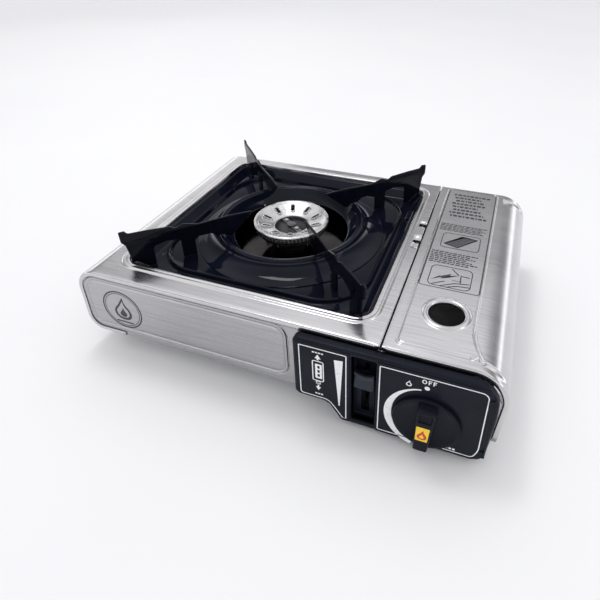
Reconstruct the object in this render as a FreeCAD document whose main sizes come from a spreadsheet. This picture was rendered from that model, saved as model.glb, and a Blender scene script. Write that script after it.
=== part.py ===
import FreeCAD, Part
import math
import os

from FreeCAD import Placement, Rotation, Vector

# Portable gas stove with a side bay for a gas cartridge.
# Frame: +Z up, +X to the gas bay, -Y to the control panel. The origin is on the table, under the
# middle of the stove. Millimetres.

doc = FreeCAD.newDocument("camping_stove")

# ---------------------------------------------------------------- driving dimensions
DIMENSIONS = dict(
    body_width=346, body_depth=244, top_level=81, knob_reach=17.5, sheet_gauge=0.8,
    lip_width=4, shoulder_radius=20, lid_shoulder_radius=25, side_bottom=18, bay_bottom=3.2,
    lid_lean=4.5, gap_x=87.3, gap_width=1.0, burner_x=-33.5, burner_y=11.5,
    opening_width=212.5, opening_depth=206.8, opening_radius=12, bead_width=6.5, bead_height=1.2,
    ledge_drop=2.7, tray_play=0.6, tray_floor=72, ring_radius=64.8, ring_level=85.4,
    burner_radius=34.8, burner_level=85.4, support_gauge=1.6, support_top=110.4,
    panel_depth=8, panel_wall=2, panel_left=23.7, panel_right=167, panel_top=76.8,
    knob_x=123.5, knob_z=31, knob_radius=23.4, stem_radius=3, stem_play=0.05,
    channel_x=78, channel_width=17, lever_gauge=3, lever_pivot_y=-68, lever_pivot_z=34,
    cartridge_z=42, window_y=-68, window_radius=12.6,
    hinge_x=83.4, hinge_z=77.6, hinge_y=31.5, finger_spacing=28.3, hinge_pin_radius=1.5,
    plate_setback=1.1, foot_radius=8,
)

sheet = doc.addObject("Spreadsheet::Sheet", "Sizes")
for row, (name, value) in enumerate(DIMENSIONS.items(), start=1):
    sheet.set(f"A{row}", name)
    sheet.set(f"B{row}", str(value))
    sheet.setAlias(f"B{row}", name)
doc.recompute()


class Sizes:
    """The sheet's cells as plain numbers: size.body_width and so on."""

    def __getattr__(self, name):
        return float(sheet.get(name))


size = Sizes()

# ---------------------------------------------------------------- places worked out from them
left = -size.body_width / 2
right = size.body_width / 2
front = (size.knob_reach - size.body_depth) / 2
back = front + size.body_depth
top = size.top_level
gauge = size.sheet_gauge
hood_edge = size.gap_x - size.gap_width / 2
lid_edge = size.gap_x + size.gap_width / 2
burner = Vector(size.burner_x, size.burner_y, 0)
panel_front = front - size.panel_depth
plate_front = front + size.plate_setback
inner_front = plate_front + gauge + 0.1
floor_level = size.side_bottom + 1
bay_level = size.bay_bottom
partition_x = hood_edge - 2 * gauge - 0.1

nodes = []


# ---------------------------------------------------------------- outlines in a plane
def outline(points):
    """Lines and arcs of a closed outline. A point is (u, v) or (u, v, corner radius)."""
    corners = []
    count = len(points)
    for i, point in enumerate(points):
        here = Vector(point[0], point[1], 0)
        before = Vector(*points[i - 1][:2], 0)
        after = Vector(*points[(i + 1) % count][:2], 0)
        radius = point[2] if len(point) > 2 else 0
        if radius <= 0:
            corners.append((here, None, here))
            continue
        to_before, to_after = (before - here).normalize(), (after - here).normalize()
        half = to_before.getAngle(to_after) / 2
        reach = radius / math.tan(half)
        middle = here + (to_before + to_after).normalize() * (radius / math.sin(half) - radius)
        corners.append((here + to_before * reach, middle, here + to_after * reach))
    pieces = []
    for i, (start, middle, end) in enumerate(corners):
        if middle is not None:
            pieces.append(Part.Arc(start, middle, end))
        following = corners[(i + 1) % count][0]
        if end.distanceToPoint(following) > 1e-4:
            pieces.append(Part.LineSegment(end, following))
    return pieces


def circle(u, v, radius):
    return [Part.Circle(Vector(u, v, 0), Vector(0, 0, 1), radius)]


def rounded_box(u_low, v_low, u_high, v_high, radius=0):
    corners = ((u_low, v_low), (u_high, v_low), (u_high, v_high), (u_low, v_high))
    return [(u, v, radius) for u, v in corners]


def beside(path, distance):
    """The path moved sideways to its right, its corner radii following."""
    moved = []
    spots = [Vector(p[0], p[1], 0) for p in path]
    normals = []
    for start, end in zip(spots, spots[1:]):
        along = (end - start).normalize()
        normals.append(Vector(along.y, -along.x, 0))
    for i, spot in enumerate(spots):
        radius = path[i][2] if len(path[i]) > 2 else 0
        if i == 0 or i == len(spots) - 1:
            normal = normals[0] if i == 0 else normals[-1]
            moved.append((spot.x + normal.x * distance, spot.y + normal.y * distance))
            continue
        first, second = normals[i - 1], normals[i]
        bisector = (first + second).normalize()
        reach = distance / bisector.dot(first)
        turn = first.x * second.y - first.y * second.x
        grown = radius + (distance if turn > 0 else -distance)
        new_radius = max(grown, 0) if radius > 0 else 0
        moved.append((spot.x + bisector.x * reach, spot.y + bisector.y * reach, new_radius))
    return moved


def ribbon(path, width):
    """The closed outline of a strip that follows the path, on its right side."""
    return list(path) + beside(path, width)[::-1]


# ---------------------------------------------------------------- document helpers
def bind(item, prop, value):
    """Binds a property to a formula of the sheet's cells, or to a plain number."""
    item.setExpression(prop, str(value))


def keep(item, label):
    item.Label = label
    nodes.append(item)
    return item


def new_body(label):
    return keep(doc.addObject("PartDesign::Body", label), label)


def add_sketch(body, role, offset, loops):
    plane = next(f for f in body.Origin.OriginFeatures if f.Role == role)
    drawing = body.newObject("Sketcher::SketchObject", body.Name + "_sketch")
    drawing.AttachmentSupport = [(plane, "")]
    drawing.MapMode = "FlatFace"
    bind(drawing, ".AttachmentOffset.Base.z", offset)
    for loop in loops:
        drawing.addGeometry(loop, False)
    return drawing


def add_feature(body, kind, drawing, length, backwards=False):
    feature = body.newObject("PartDesign::" + kind, body.Name + "_" + kind.lower())
    feature.Profile = drawing
    bind(feature, "Length", length)
    feature.Reversed = backwards
    return feature


def pad(body, role, offset, length, *loops, backwards=False):
    return add_feature(body, "Pad", add_sketch(body, role, offset, loops), length, backwards)


def pocket(body, role, offset, length, *loops, backwards=False):
    return add_feature(body, "Pocket", add_sketch(body, role, offset, loops), length, backwards)


def wall(body, y_low, depth, *loops):
    """A pad of X-Z outlines that reaches from y_low to y_low + depth."""
    return pad(body, "XZ_Plane", -y_low, depth, *loops, backwards=True)


def cut_wall(body, y_low, depth, *loops):
    """The same as wall, taken away."""
    return pocket(body, "XZ_Plane", -y_low, depth, *loops)


def slab(body, z_low, height, *loops):
    """A pad of X-Y outlines that reaches up from z_low."""
    return pad(body, "XY_Plane", z_low, height, *loops)


def cut_slab(body, z_low, height, *loops):
    return pocket(body, "XY_Plane", z_low, height, *loops, backwards=True)


def cheek(body, x_low, width, *loops):
    """A pad of Y-Z outlines that reaches from x_low to x_low + width."""
    return pad(body, "YZ_Plane", x_low, width, *loops)


def turned(label, profile, place=None):
    """A body of revolution: the profile's points are (radius, height)."""
    body = new_body(label)
    drawing = add_sketch(body, "XZ_Plane", 0, [outline(profile)])
    feature = body.newObject("PartDesign::Revolution", label + "_turn")
    feature.Profile = drawing
    feature.ReferenceAxis = (drawing, ["V_Axis"])
    feature.Angle = 360
    body.Placement = place or Placement()
    return body


def cylinder(label, radius, height, place):
    item = keep(doc.addObject("Part::Cylinder", label), label)
    bind(item, "Radius", radius)
    bind(item, "Height", height)
    item.Placement = place
    return item


def box(label, low, high):
    item = keep(doc.addObject("Part::Box", label), label)
    item.Length, item.Width, item.Height = (high[i] - low[i] for i in range(3))
    item.Placement = Placement(Vector(*low), Rotation())
    return item


def solid(label, shape):
    item = keep(doc.addObject("Part::Feature", label), label)
    item.Shape = shape
    return item


def facing(origin, direction):
    """A placement whose own Z points along the direction."""
    return Placement(Vector(*origin), Rotation(Vector(0, 0, 1), Vector(*direction)))


def bent_tube(points, radius, bend):
    """A round tube on straight runs joined by tangent arcs."""
    spots = [Vector(*p) for p in points]
    edges = []
    start = spots[0]
    for before, here, after in zip(spots, spots[1:], spots[2:]):
        to_before, to_after = (before - here).normalize(), (after - here).normalize()
        half = to_before.getAngle(to_after) / 2
        reach = bend / math.tan(half)
        middle = here + (to_before + to_after).normalize() * (bend / math.sin(half) - bend)
        entry, leave = here + to_before * reach, here + to_after * reach
        edges.append(Part.LineSegment(start, entry).toShape())
        edges.append(Part.Arc(entry, middle, leave).toShape())
        start = leave
    edges.append(Part.LineSegment(start, spots[-1]).toShape())
    path = Part.Wire(edges)
    section = Part.Circle(spots[0], spots[1] - spots[0], radius).toShape()
    return path.makePipeShell([Part.Wire([section])], True, True)


# ---------------------------------------------------------------- casing
# The hood's outside, from under its left side, up and over the top to its turned-down right edge.
# A strip's thickness lies on the right of its path, which is the inside here.
hood_path = [(left + 37, size.side_bottom), (left, size.side_bottom, 14), (left, top, size.shoulder_radius),
             (hood_edge, top), (hood_edge, top - 5)]
half_opening = (size.opening_width / 2, size.opening_depth / 2)


def opening_box(grow):
    """The tray opening's outline in plan, grown all round."""
    half_x, half_y = half_opening[0] + grow, half_opening[1] + grow
    return outline(rounded_box(burner.x - half_x, burner.y - half_y,
                               burner.x + half_x, burner.y + half_y, size.opening_radius + grow))


def make_hood():
    body = new_body("hood")
    wall(body, front, "Sizes.body_depth", outline(ribbon(hood_path, gauge)))
    lip = outline(ribbon(hood_path[:-1], size.lip_width))
    wall(body, front, "Sizes.sheet_gauge", lip)
    wall(body, back - gauge, "Sizes.sheet_gauge", lip)
    slab(body, top, "Sizes.bead_height", opening_box(size.bead_width), opening_box(-gauge))
    slab(body, top - size.ledge_drop, "Sizes.ledge_drop", opening_box(0.8), opening_box(0))
    slab(body, top - size.ledge_drop - gauge, "Sizes.sheet_gauge", opening_box(0.8), opening_box(-3.5))
    cut_slab(body, top - 2 * gauge, 3 * gauge + 2, opening_box(0))
    for side in (-0.5, 0.5):
        middle = size.hinge_y + side * size.finger_spacing
        cut_slab(body, top - 8, 9, outline(rounded_box(hood_edge - 6.4, middle - 3, hood_edge + 1, middle + 3)))
    return body


# The lid's right wall leans in towards its foot; the corner stands out so that the widest point
# of the rounded shoulder is the body's own width.
lean = math.radians(size.lid_lean)
shoulder_reach = size.lid_shoulder_radius / math.tan((math.pi / 2 - lean) / 2)
lid_corner = right + shoulder_reach * math.sin(lean) - size.lid_shoulder_radius * (1 - math.cos(lean))
lid_bottom = 20
lid_foot = lid_corner - (top - lid_bottom) * math.tan(lean)
lid_path = [(lid_edge, top), (lid_corner, top, size.lid_shoulder_radius), (lid_foot, lid_bottom)]


def make_lid():
    body = new_body("lid")
    wall(body, front, "Sizes.body_depth", outline(ribbon(lid_path, gauge)))
    lip = outline(ribbon([(lid_edge + 3, top)] + lid_path[1:], size.lip_width))
    wall(body, front, "Sizes.sheet_gauge", lip)
    wall(body, back - gauge, "Sizes.sheet_gauge", lip)
    slab(body, top, 0.8, outline(rounded_box(lid_edge + 7.2, front + 6.4, 145.4, back - 3, 5)))
    slab(body, top, 2, circle(size.knob_x, size.window_y, size.window_radius + 4.6),
         circle(size.knob_x, size.window_y, size.window_radius))
    cut_slab(body, top - 3, 8, circle(size.knob_x, size.window_y, size.window_radius))
    for side in (-0.5, 0.5):
        middle = size.hinge_y + side * size.finger_spacing
        eye = size.hinge_pin_radius + 0.9
        wall(body, middle - 2.5, 5,
             outline([(size.hinge_x, size.hinge_z + eye), (size.hinge_x, size.hinge_z + eye - gauge),
                      (lid_edge + 4, size.hinge_z + eye - gauge), (lid_edge + 4, top - 0.2),
                      (lid_edge + 1, top - 0.2), (lid_edge + 1, size.hinge_z + eye)]))
        wall(body, middle - 2.5, 5, circle(size.hinge_x, size.hinge_z, eye),
             circle(size.hinge_x, size.hinge_z, size.hinge_pin_radius + size.stem_play))
    return body


def end_plate():
    """The outline the front and back plates share: inside the hood's skin, and stepped down round the bay."""
    inset = gauge + 0.3
    bay_top = top - 5.5
    return outline([(left + inset, top - inset, size.shoulder_radius - inset), (left + inset, 19, 13),
                    (52, 19, 4), (61, 5, 4), (right - 8, 5), (right - inset - 1.4, 56, 14),
                    (right - 24, bay_top, 12), (hood_edge - 2.2, bay_top), (hood_edge - 2.2, top - inset)])


def make_front_plate():
    """The left of the plate is one raised field; the panel covers the rest."""
    body = new_body("front_plate")
    wall(body, plate_front, "Sizes.sheet_gauge", end_plate())
    wall(body, plate_front - 0.9, 1.1, outline([(left + 6, 75.8, 14), (left + 6, 25.4, 9),
                                              (17, 25.4, 11), (17, 75.8, 11)]))
    cut_wall(body, plate_front - 1, 3, outline(rounded_box(67.6, 7.2, 88.4, 73.8)))
    cut_wall(body, plate_front - 1, 3, circle(size.knob_x, size.knob_z, 9.5))
    return body


def make_back_plate():
    """Two rows of air slots behind the burner and two slots behind the bay."""
    body = new_body("back_plate")
    wall(body, back - size.plate_setback - gauge, "Sizes.sheet_gauge", end_plate())
    slots = [outline(rounded_box(x, z, x + 18, z + 4, 1.9)) for z in (38, 50) for x in range(-120, 20, 28)]
    slots += [outline(rounded_box(x, 30, x + 16, 34, 1.9)) for x in (100, 128)]
    cut_wall(body, back - 4, 5, *slots)
    return body


def make_base_tray():
    body = new_body("base_tray")
    path = [(left + 22, floor_level + 6), (left + 22, floor_level, 2), (51, floor_level, 5), (58, bay_level, 5),
            (right - 9, bay_level, 4), (right - 8.4, 26)]
    depth = size.body_depth - 2 * (inner_front - front)
    wall(body, inner_front, depth, outline(ribbon(path, -gauge)))
    return body


def make_partition():
    body = new_body("partition")
    inner_back = back - (inner_front - front)
    shape = outline(rounded_box(inner_front, bay_level + gauge + 0.1, inner_back, top - gauge - 0.1))
    cheek(body, partition_x, "Sizes.sheet_gauge", shape)
    notches = [outline(rounded_box(size.hinge_y + side * size.finger_spacing - 4, top - 9,
                                   size.hinge_y + side * size.finger_spacing + 4, top + 1))
               for side in (-0.5, 0.5)]
    slots = [outline(rounded_box(-80, 41, -60, 53)), circle(-84, 60, 4.5), circle(-95, 14, 2)]
    pocket(body, "YZ_Plane", partition_x - 1, 3, *notches, *slots, backwards=True)
    return body


# ---------------------------------------------------------------- control panel and knob
panel_outline = [(size.panel_left, size.panel_top, 3), (size.panel_left, 20.5, 4), (53, 20.5, 11),
                 (61, 4.5, 9), (size.panel_right - 3, 4.5, 9), (size.panel_right, 50, 40),
                 (size.panel_right - 0.5, size.panel_top, 17)]
channel_left = size.channel_x - size.channel_width / 2
channel_right = size.channel_x + size.channel_width / 2


def make_control_panel():
    body = new_body("control_panel")
    rim = panel_outline[::-1]
    block = wall(body, panel_front, "Sizes.panel_depth", outline(rim))
    doc.recompute()
    names = [f"Edge{i}" for i, edge in enumerate(block.Shape.Edges, start=1)
             if abs(edge.BoundBox.YMax - panel_front) < 1e-3]
    bevel = body.newObject("PartDesign::Chamfer", "panel_bevel")
    bevel.Base = (block, names)
    bevel.Size = 1.6
    body.Tip = bevel
    inner = beside(rim + rim[:2], size.panel_wall)[1:-1]
    cut_wall(body, panel_front + size.panel_wall, 8, outline(inner))
    channel_back = inner_front - 0.15
    wall(body, panel_front + 1.7, channel_back - panel_front - 1.7, outline(rounded_box(
        channel_left - 1.5, 7.6, channel_right + 1.5, 73.4)))
    cut_wall(body, panel_front - 1, channel_back - panel_front, outline(rounded_box(
        channel_left, 9, channel_right, 72)))
    cut_wall(body, panel_front - 1, 12, outline(rounded_box(size.channel_x - 3, 13, size.channel_x + 3, 56)))
    cut_wall(body, panel_front - 1, 12, outline(rounded_box(channel_left + 1, 54, channel_right - 1, 71)))
    cut_wall(body, panel_front - 1, 5, circle(size.knob_x, size.knob_z, 8.5))
    return body


def make_knob():
    """The disc lies just in front of the panel; the handle is a bar across it."""
    body = new_body("knob")
    disc_back = panel_front - 0.4
    disc_front = disc_back - 2.6
    handle_front = front - size.knob_reach
    wall(body, disc_front, 2.6, circle(size.knob_x, size.knob_z, size.knob_radius))
    wall(body, disc_back - 0.2, 9.2, circle(size.knob_x, size.knob_z, 7))
    x, z = size.knob_x, size.knob_z
    wall(body, handle_front, disc_front + 0.2 - handle_front, outline([
        (x - 6.7, z + 18.5), (x + 6.7, z + 18.5), (x + 4.3, z - 21), (x - 5.3, z - 21)]))
    ends = [outline([(handle_front - 1, z + 17.2), (handle_front, z + 17.2), (disc_front + 0.2, z + 18.5),
                     (disc_front + 0.2, z + 20), (handle_front - 1, z + 20)]),
            outline([(handle_front - 1, z - 19.5), (handle_front, z - 19.5), (disc_front + 0.2, z - 21),
                     (disc_front + 0.2, z - 23), (handle_front - 1, z - 23)])]
    pocket(body, "YZ_Plane", x - 10, 20, *ends, backwards=True)
    cut_wall(body, disc_back + 1, 20, circle(size.knob_x, size.knob_z, size.stem_radius - 0.5))
    return body


def make_stem():
    """The valve's stem: it turns with the knob, in the valve's bore."""
    start = panel_front + 1.2
    return cylinder("valve_stem", "Sizes.stem_radius - 0.5", 26,
                    facing((size.knob_x, start, size.knob_z), (0, 1, 0)))


# ---------------------------------------------------------------- lock lever and pusher
def make_lever():
    """A thumb piece in the channel on a flat arm, whose pin moves the cartridge pusher."""
    body = new_body("lock_lever")
    half = size.lever_gauge / 2
    y, z = size.lever_pivot_y, size.lever_pivot_z
    arm = [(y + 6, z - 6, 5), (y + 6, z + 18, 4), (y - 6, z + 18, 4), (y - 9, z + 8, 3),
           (panel_front + 6, z + 16, 1), (panel_front + 6, z + 8, 1), (y - 8, z - 6, 5)]
    cheek(body, size.channel_x - half, "Sizes.lever_gauge", outline(arm))
    pivot = add_sketch(body, "YZ_Plane", size.channel_x - 5, [circle(y, z, 2.05)])
    hole = add_feature(body, "Pocket", pivot, 10, True)
    hole.Reversed = True
    thumb = [(panel_front + 1.6, z + 21, 3), (panel_front + 6.2, z + 21), (panel_front + 6.2, z + 6),
             (panel_front + 2.6, z + 6, 1.5)]
    cheek(body, size.channel_x - 7.5, 15, outline(thumb))
    cheek(body, size.channel_x, 10, circle(y, z + 13, 1.5))
    return body


def make_pusher():
    """Slides towards the panel and pushes the cartridge's base."""
    body = new_body("cartridge_pusher")
    bar_x = partition_x + gauge + 0.4
    y, z = size.lever_pivot_y, size.lever_pivot_z + 13
    pusher_back = back - 12
    cheek(body, bar_x, 1.2, outline([(y - 6, z - 6, 2), (pusher_back, z - 6),
                                     (pusher_back, z + 6), (y - 6, z + 6, 2)]))
    window = add_sketch(body, "YZ_Plane", bar_x - 1, [outline(rounded_box(y - 2.1, z - 4, y + 2.1, z + 3))])
    add_feature(body, "Pocket", window, 4, True)
    wall(body, pusher_back - 1.2, 1.2, outline(rounded_box(bar_x, 22, size.knob_x + 22, 62, 3)))
    return body


def make_lever_mount():
    """An angle on the bay's floor that carries the lever's pin."""
    body = new_body("lever_bracket")
    y, z = size.lever_pivot_y, size.lever_pivot_z
    shape = [(y - 9, bay_level + gauge), (y + 9, bay_level + gauge), (y + 6, z + 6, 4), (y - 6, z + 6, 4)]
    cheek(body, size.channel_x - 5, 1.2, outline(shape))
    pocket(body, "YZ_Plane", size.channel_x - 6, 3, circle(y, z, 2), backwards=True)
    slab(body, bay_level + gauge, 1.2, outline(rounded_box(size.channel_x - 14, y - 9, size.channel_x - 4, y + 9)))
    return body


def make_cradle():
    """A spring strip on the bay's floor, on which the cartridge lies."""
    body = new_body("cartridge_cradle")
    x, low = size.knob_x, bay_level + gauge
    path = [(x - 30, 12), (x - 18, low + 3.4, 8), (x - 8, low, 4),
            (x + 8, low, 4), (x + 18, low + 3.4, 8), (x + 30, 12)]
    for y in (-40, 50):
        wall(body, y, 14, outline(ribbon(path, -gauge)))
    return body


# ---------------------------------------------------------------- gas train
def make_regulator():
    """The cast body: a drum on the cartridge's axis and the valve's barrel on the knob's axis."""
    drum = Part.makeCylinder(16, 24, Vector(size.knob_x, -98, size.cartridge_z), Vector(0, 1, 0))
    flange = Part.makeCylinder(20, 4, Vector(size.knob_x, -76, size.cartridge_z), Vector(0, 1, 0))
    seat = Part.makeCylinder(8, 3, Vector(size.knob_x, -72.5, size.cartridge_z), Vector(0, 1, 0))
    barrel = Part.makeCylinder(8.5, 16, Vector(size.knob_x, -108.5, size.knob_z), Vector(0, 1, 0))
    block = Part.makeBox(22, 12, 26, Vector(size.knob_x - 11, -104, 20))
    outlet = Part.makeCylinder(5, 12, Vector(size.knob_x - 8, -84, 60), Vector(-1, 0, 0))
    riser = Part.makeCylinder(6, 16, Vector(size.knob_x - 10, -84, 48), Vector(0, 0, 1))
    shape = drum.fuse([flange, seat, barrel, block, outlet, riser]).removeSplitter()
    bore = Part.makeCylinder(size.stem_radius - 0.5 + size.stem_play, 20,
                             Vector(size.knob_x, -109, size.knob_z), Vector(0, 1, 0))
    nozzle = Part.makeCylinder(3, 8, Vector(size.knob_x, -77, size.cartridge_z), Vector(0, 1, 0))
    return solid("regulator", shape.cut([bore, nozzle]))


def make_gas_parts():
    """The nozzle's seal, the pressure cut-off and its strap, the guide pin, the igniter and the gas pipe."""
    ring = Part.makeCylinder(6.5, 1.6, Vector(size.knob_x, -69.5, size.cartridge_z), Vector(0, 1, 0))
    hole = Part.makeCylinder(3, 2, Vector(size.knob_x, -69.7, size.cartridge_z), Vector(0, 1, 0))
    solid("nozzle_seal", ring.cut(hole))
    cylinder("pressure_cutoff", 5, 14, facing((size.knob_x + 14, -90, 62), (0, 1, 0)))
    box("cutoff_strap", (size.knob_x + 8, -92, 56), (size.knob_x + 20, -88, 56.9))
    box("cartridge_guide_pin", (size.knob_x - 2, -72, size.cartridge_z + 14),
        (size.knob_x + 2, -66, size.cartridge_z + 19))
    box("piezo_igniter", (97, -109, 8), (111, -80, 22))
    route = [(size.knob_x - 20, -84, 60), (68, -84, 60), (jet_mouth.x + 12, jet_mouth.y - 9, jet_mouth.z),
             tuple(jet_mouth)]
    solid("gas_pipe", bent_tube(route, 2.4, 9))


electrode_spot = Vector(-36, 17, 0)  # from the burner's axis
throat = Vector(40, -42, 45)         # the mixing tube's open end
tube_run = Vector(size.burner_x, size.burner_y, 48) - throat
tube_direction = Vector(tube_run).normalize()
jet_mouth = throat - tube_direction * 6


def make_burner():
    """The slotted head, its base, the bridge across the middle with its screws, and the reflector."""
    place = Placement(burner, Rotation())
    level, radius = size.burner_level, size.burner_radius
    head = turned("burner_head", [(15.5, level - 6.6), (30.5, level - 1.2, 2), (31.6, level), (radius, level, 0.5),
                                  (radius, level - 3.2, 0.5), (radius - 2, level - 4.4), (radius - 2, level - 8.4),
                                  (radius - 4, level - 8.4), (radius - 4, level - 4), (16.5, level - 9.4),
                                  (15.5, level - 9.4)], place)
    slot = add_sketch(head, "XY_Plane", level - 12, [outline(rounded_box(19, -1.9, 28, 1.9, 1.85))])
    cut = add_feature(head, "Pocket", slot, 14, True)
    doc.recompute()
    ring = head.newObject("PartDesign::PolarPattern", "burner_slots")
    ring.Originals = [cut]
    ring.Axis = (slot, ["N_Axis"])
    ring.Angle = 360
    ring.Occurrences = 8
    head.Tip = ring
    turned("burner_base", [(12, 39, 2), (14, 60), (25, level - 12), (31.5, level - 10.4), (31.5, level - 8.5),
                           (radius - 4.6, level - 8.5), (radius - 4.6, level - 7.2), (24, level - 10), (11, 60), (10, 41),
                           (0, 41), (0, 39)], place)
    bridge = Part.makeBox(29.5, 5, 1.6, Vector(-14.75, -2.5, level - 8.8))
    boss = Part.makeCylinder(4, 2.6, Vector(0, 0, level - 8.8))
    spread = Rotation(Vector(0, 0, 1), -35)
    screws = [Part.makeCylinder(1.9, 1.3, Vector(x, 0, level - 7.15)) for x in (-9, 9)]
    for item in (solid("burner_bridge", bridge.fuse(boss).removeSplitter()),
                 solid("burner_screws", Part.makeCompound(screws))):
        item.Placement = Placement(burner, spread)
    dish = turned("heat_reflector", [(16, 57), (60, 57), (72, 63), (72, 63.6), (60, 57.6), (16, 57.6)], place)
    cut_slab(dish, 50, 12, circle(electrode_spot.x, electrode_spot.y, 1.8))


def make_mixing_tube():
    """The tube from the jet to the burner, and the air shutter round its open end."""
    length = tube_run.Length - 15
    outer = Part.makeCylinder(8, length, throat, tube_direction)
    inner = Part.makeCylinder(7, length + 2, throat - tube_direction, tube_direction)
    solid("mixing_tube", outer.cut(inner))
    cuff = Part.makeCylinder(9.1, 10, throat + tube_direction * 2, tube_direction)
    hollow = Part.makeCylinder(8.1, 12, throat + tube_direction, tube_direction)
    solid("air_shutter", cuff.cut(hollow))
    solid("gas_jet", Part.makeCone(3.4, 1.4, 7, jet_mouth + tube_direction * 0.1, tube_direction))


def make_burner_bracket():
    body = new_body("burner_bracket")
    foot, crown = floor_level + gauge, 37.9
    path = [(-26, foot), (-18, foot, 2), (-18, crown, 2), (18, crown, 2), (18, foot, 2), (26, foot)]
    wall(body, -9, 18, outline(ribbon(path, -1)))
    body.Placement = Placement(burner, Rotation())
    return body


def make_ignition():
    """The electrode in its insulator, and the lead from the igniter."""
    spot = burner + electrode_spot
    cylinder("electrode_insulator", 2.6, 16, Placement(spot + Vector(0, 0, 61.5), Rotation()))
    cylinder("spark_electrode", 0.8, 6, Placement(spot + Vector(0, 0, 77.5), Rotation()))
    route = [(96.9, -95, 14), (72, -95, 14), (60, -88, 24), (20, -80, 25), (-40, -60, 26), (-84, -20, 27),
             (-84, 28.5, 32), (spot.x, spot.y, 36), (spot.x, spot.y, 61.4)]
    solid("ignition_lead", bent_tube(route, 1.2, 6))


# ---------------------------------------------------------------- drip tray and pan supports
def loop_at(level, inset, radius):
    """A level wire inside the opening."""
    half_x, half_y = half_opening[0] - inset, half_opening[1] - inset
    pieces = outline(rounded_box(burner.x - half_x, burner.y - half_y,
                                 burner.x + half_x, burner.y + half_y, radius))
    wire = Part.Wire([piece.toShape() for piece in pieces])
    wire.translate(Vector(0, 0, level))
    return wire


def make_drip_tray():
    """A pressed dish: flat rim, sloping wall, floor with a raised bead and a round hole."""
    rim_low = top - size.ledge_drop + 0.1
    rim = size.tray_play
    lip = Part.Face(loop_at(rim_low, rim, 11.4)).extrude(Vector(0, 0, gauge))
    outer = Part.makeLoft([loop_at(rim_low, rim + 3, 9.5), loop_at(size.tray_floor - gauge, rim + 9, 9)], True)
    inner = Part.makeLoft([loop_at(rim_low + gauge, rim + 3.8, 9.2), loop_at(size.tray_floor, rim + 9.6, 8.6)], True)
    bead_out = Part.Face(loop_at(size.tray_floor - 0.1, 12.2, 41)).extrude(Vector(0, 0, 4))
    bead_in = Part.Face(loop_at(size.tray_floor - 0.2, 16.2, 37)).extrude(Vector(0, 0, 6))
    hole = Part.makeCylinder(78, 30, burner + Vector(0, 0, 60))
    dish = lip.fuse(outer).cut(inner).fuse(bead_out.cut(bead_in)).cut(hole)
    return solid("drip_tray", dish.removeSplitter())


def make_wind_ring():
    """A raised collar: it flares out over the tray's hole and falls as a funnel towards the burner."""
    r, level, low = size.ring_radius, size.ring_level, size.tray_floor
    outside = [(86, low + 0.1), (86, low + 0.9), (76, low + 2, 8), (r + 2.4, 79, 8), (r + 2.4, level, 1.6)]
    funnel = [(r - 1, level, 1.6), (52.6, low + 1.4), (53.4, low + 0.9), (r - 0.8, level - 1.8, 0.8)]
    inside = [(r + 1.6, level - 1.2, 0.6), (r + 1.6, 78.4, 7), (75.4, low + 1.2, 7), (78.1, low + 0.1)]
    return turned("wind_ring", outside + funnel + inside, Placement(burner, Rotation()))


def make_pan_supports():
    """Four upright blades on the tray's diagonals, drawn from the burner's axis outwards."""
    tip = size.support_top
    ground = size.tray_floor + 0.3
    rest = size.ring_level + 0.3
    shape = [(142.4, tip, 0.6), (147, tip - 0.4, 0.6), (146.7, 100.5, 1), (143.8, 97, 2), (142.4, 88), (141.2, 79.5),
             (138, 79.5), (129.5, ground), (123, ground), (123, 90, 3), (112, 92.7, 3), (100.4, 91, 3), (100.4, ground),
             (88.7, ground), (88.7, 87, 2), (85.3, 89.8, 2), (74, 89.8, 3), (70, rest), (61.5, rest),
             (58.5, 83), (56, 83), (47, 91, 3), (36.5, 101.2), (36.5, 102.6), (57, 103.4, 3), (84.8, 102, 2),
             (96.5, 105.4, 2), (103.3, 102.6, 2), (107.2, 105.4, 2), (126, 106.8, 3), (140.2, 107.3, 2)]
    corners = (("front_right", -45), ("back_right", 45), ("back_left", 135), ("front_left", -135))
    for corner, angle in corners:
        body = new_body("pan_support_" + corner)
        wall(body, -size.support_gauge / 2, "Sizes.support_gauge", outline(shape[::-1]))
        body.Placement = Placement(burner, Rotation(Vector(0, 0, 1), angle))


# ---------------------------------------------------------------- hinge, clips, feet, fasteners
def make_hinge():
    """The pin under the hood's edge and the three brackets that carry it."""
    span = size.finger_spacing + 14
    start = size.hinge_y - span / 2
    cylinder("hinge_pin", "Sizes.hinge_pin_radius", span, facing((size.hinge_x, start, size.hinge_z), (0, 1, 0)))
    for label, y in (("hinge_bracket_front", start + 0.5), ("hinge_bracket_middle", size.hinge_y - 1),
                     ("hinge_bracket_back", start + span - 2.5)):
        body = new_body(label)
        wall(body, y, 2, outline([(76, top - gauge), (76, top - gauge - 1), (hood_edge - 5.6, 73, 2),
                                  (hood_edge - 2, 73, 1), (hood_edge - 2, top - gauge)]))
        cut_wall(body, y - 1, 4, circle(size.hinge_x, size.hinge_z, size.hinge_pin_radius))


def make_panel_clips():
    """Two small clips over the panel's right edge."""
    for label, z in (("panel_clip_top", 64), ("panel_clip_bottom", 14)):
        body = new_body(label)
        x = size.panel_right - 4.5
        wall(body, panel_front - 0.6, 0.6, outline(rounded_box(x - 2.4, z - 3, x + 1.6, z + 3, 0.8)))


def make_feet():
    spots = dict(front_left=(-124, -62), back_left=(-124, 92), front_right=(140, -88), back_right=(140, 100))
    for corner, (x, y) in spots.items():
        reach = floor_level if x < 0 else bay_level
        place = Placement(Vector(x, y, 0), Rotation())
        turned("foot_" + corner, [(0, 0), (size.foot_radius - 1.2, 0, 1), (size.foot_radius, reach), (0, reach)], place)


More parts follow.
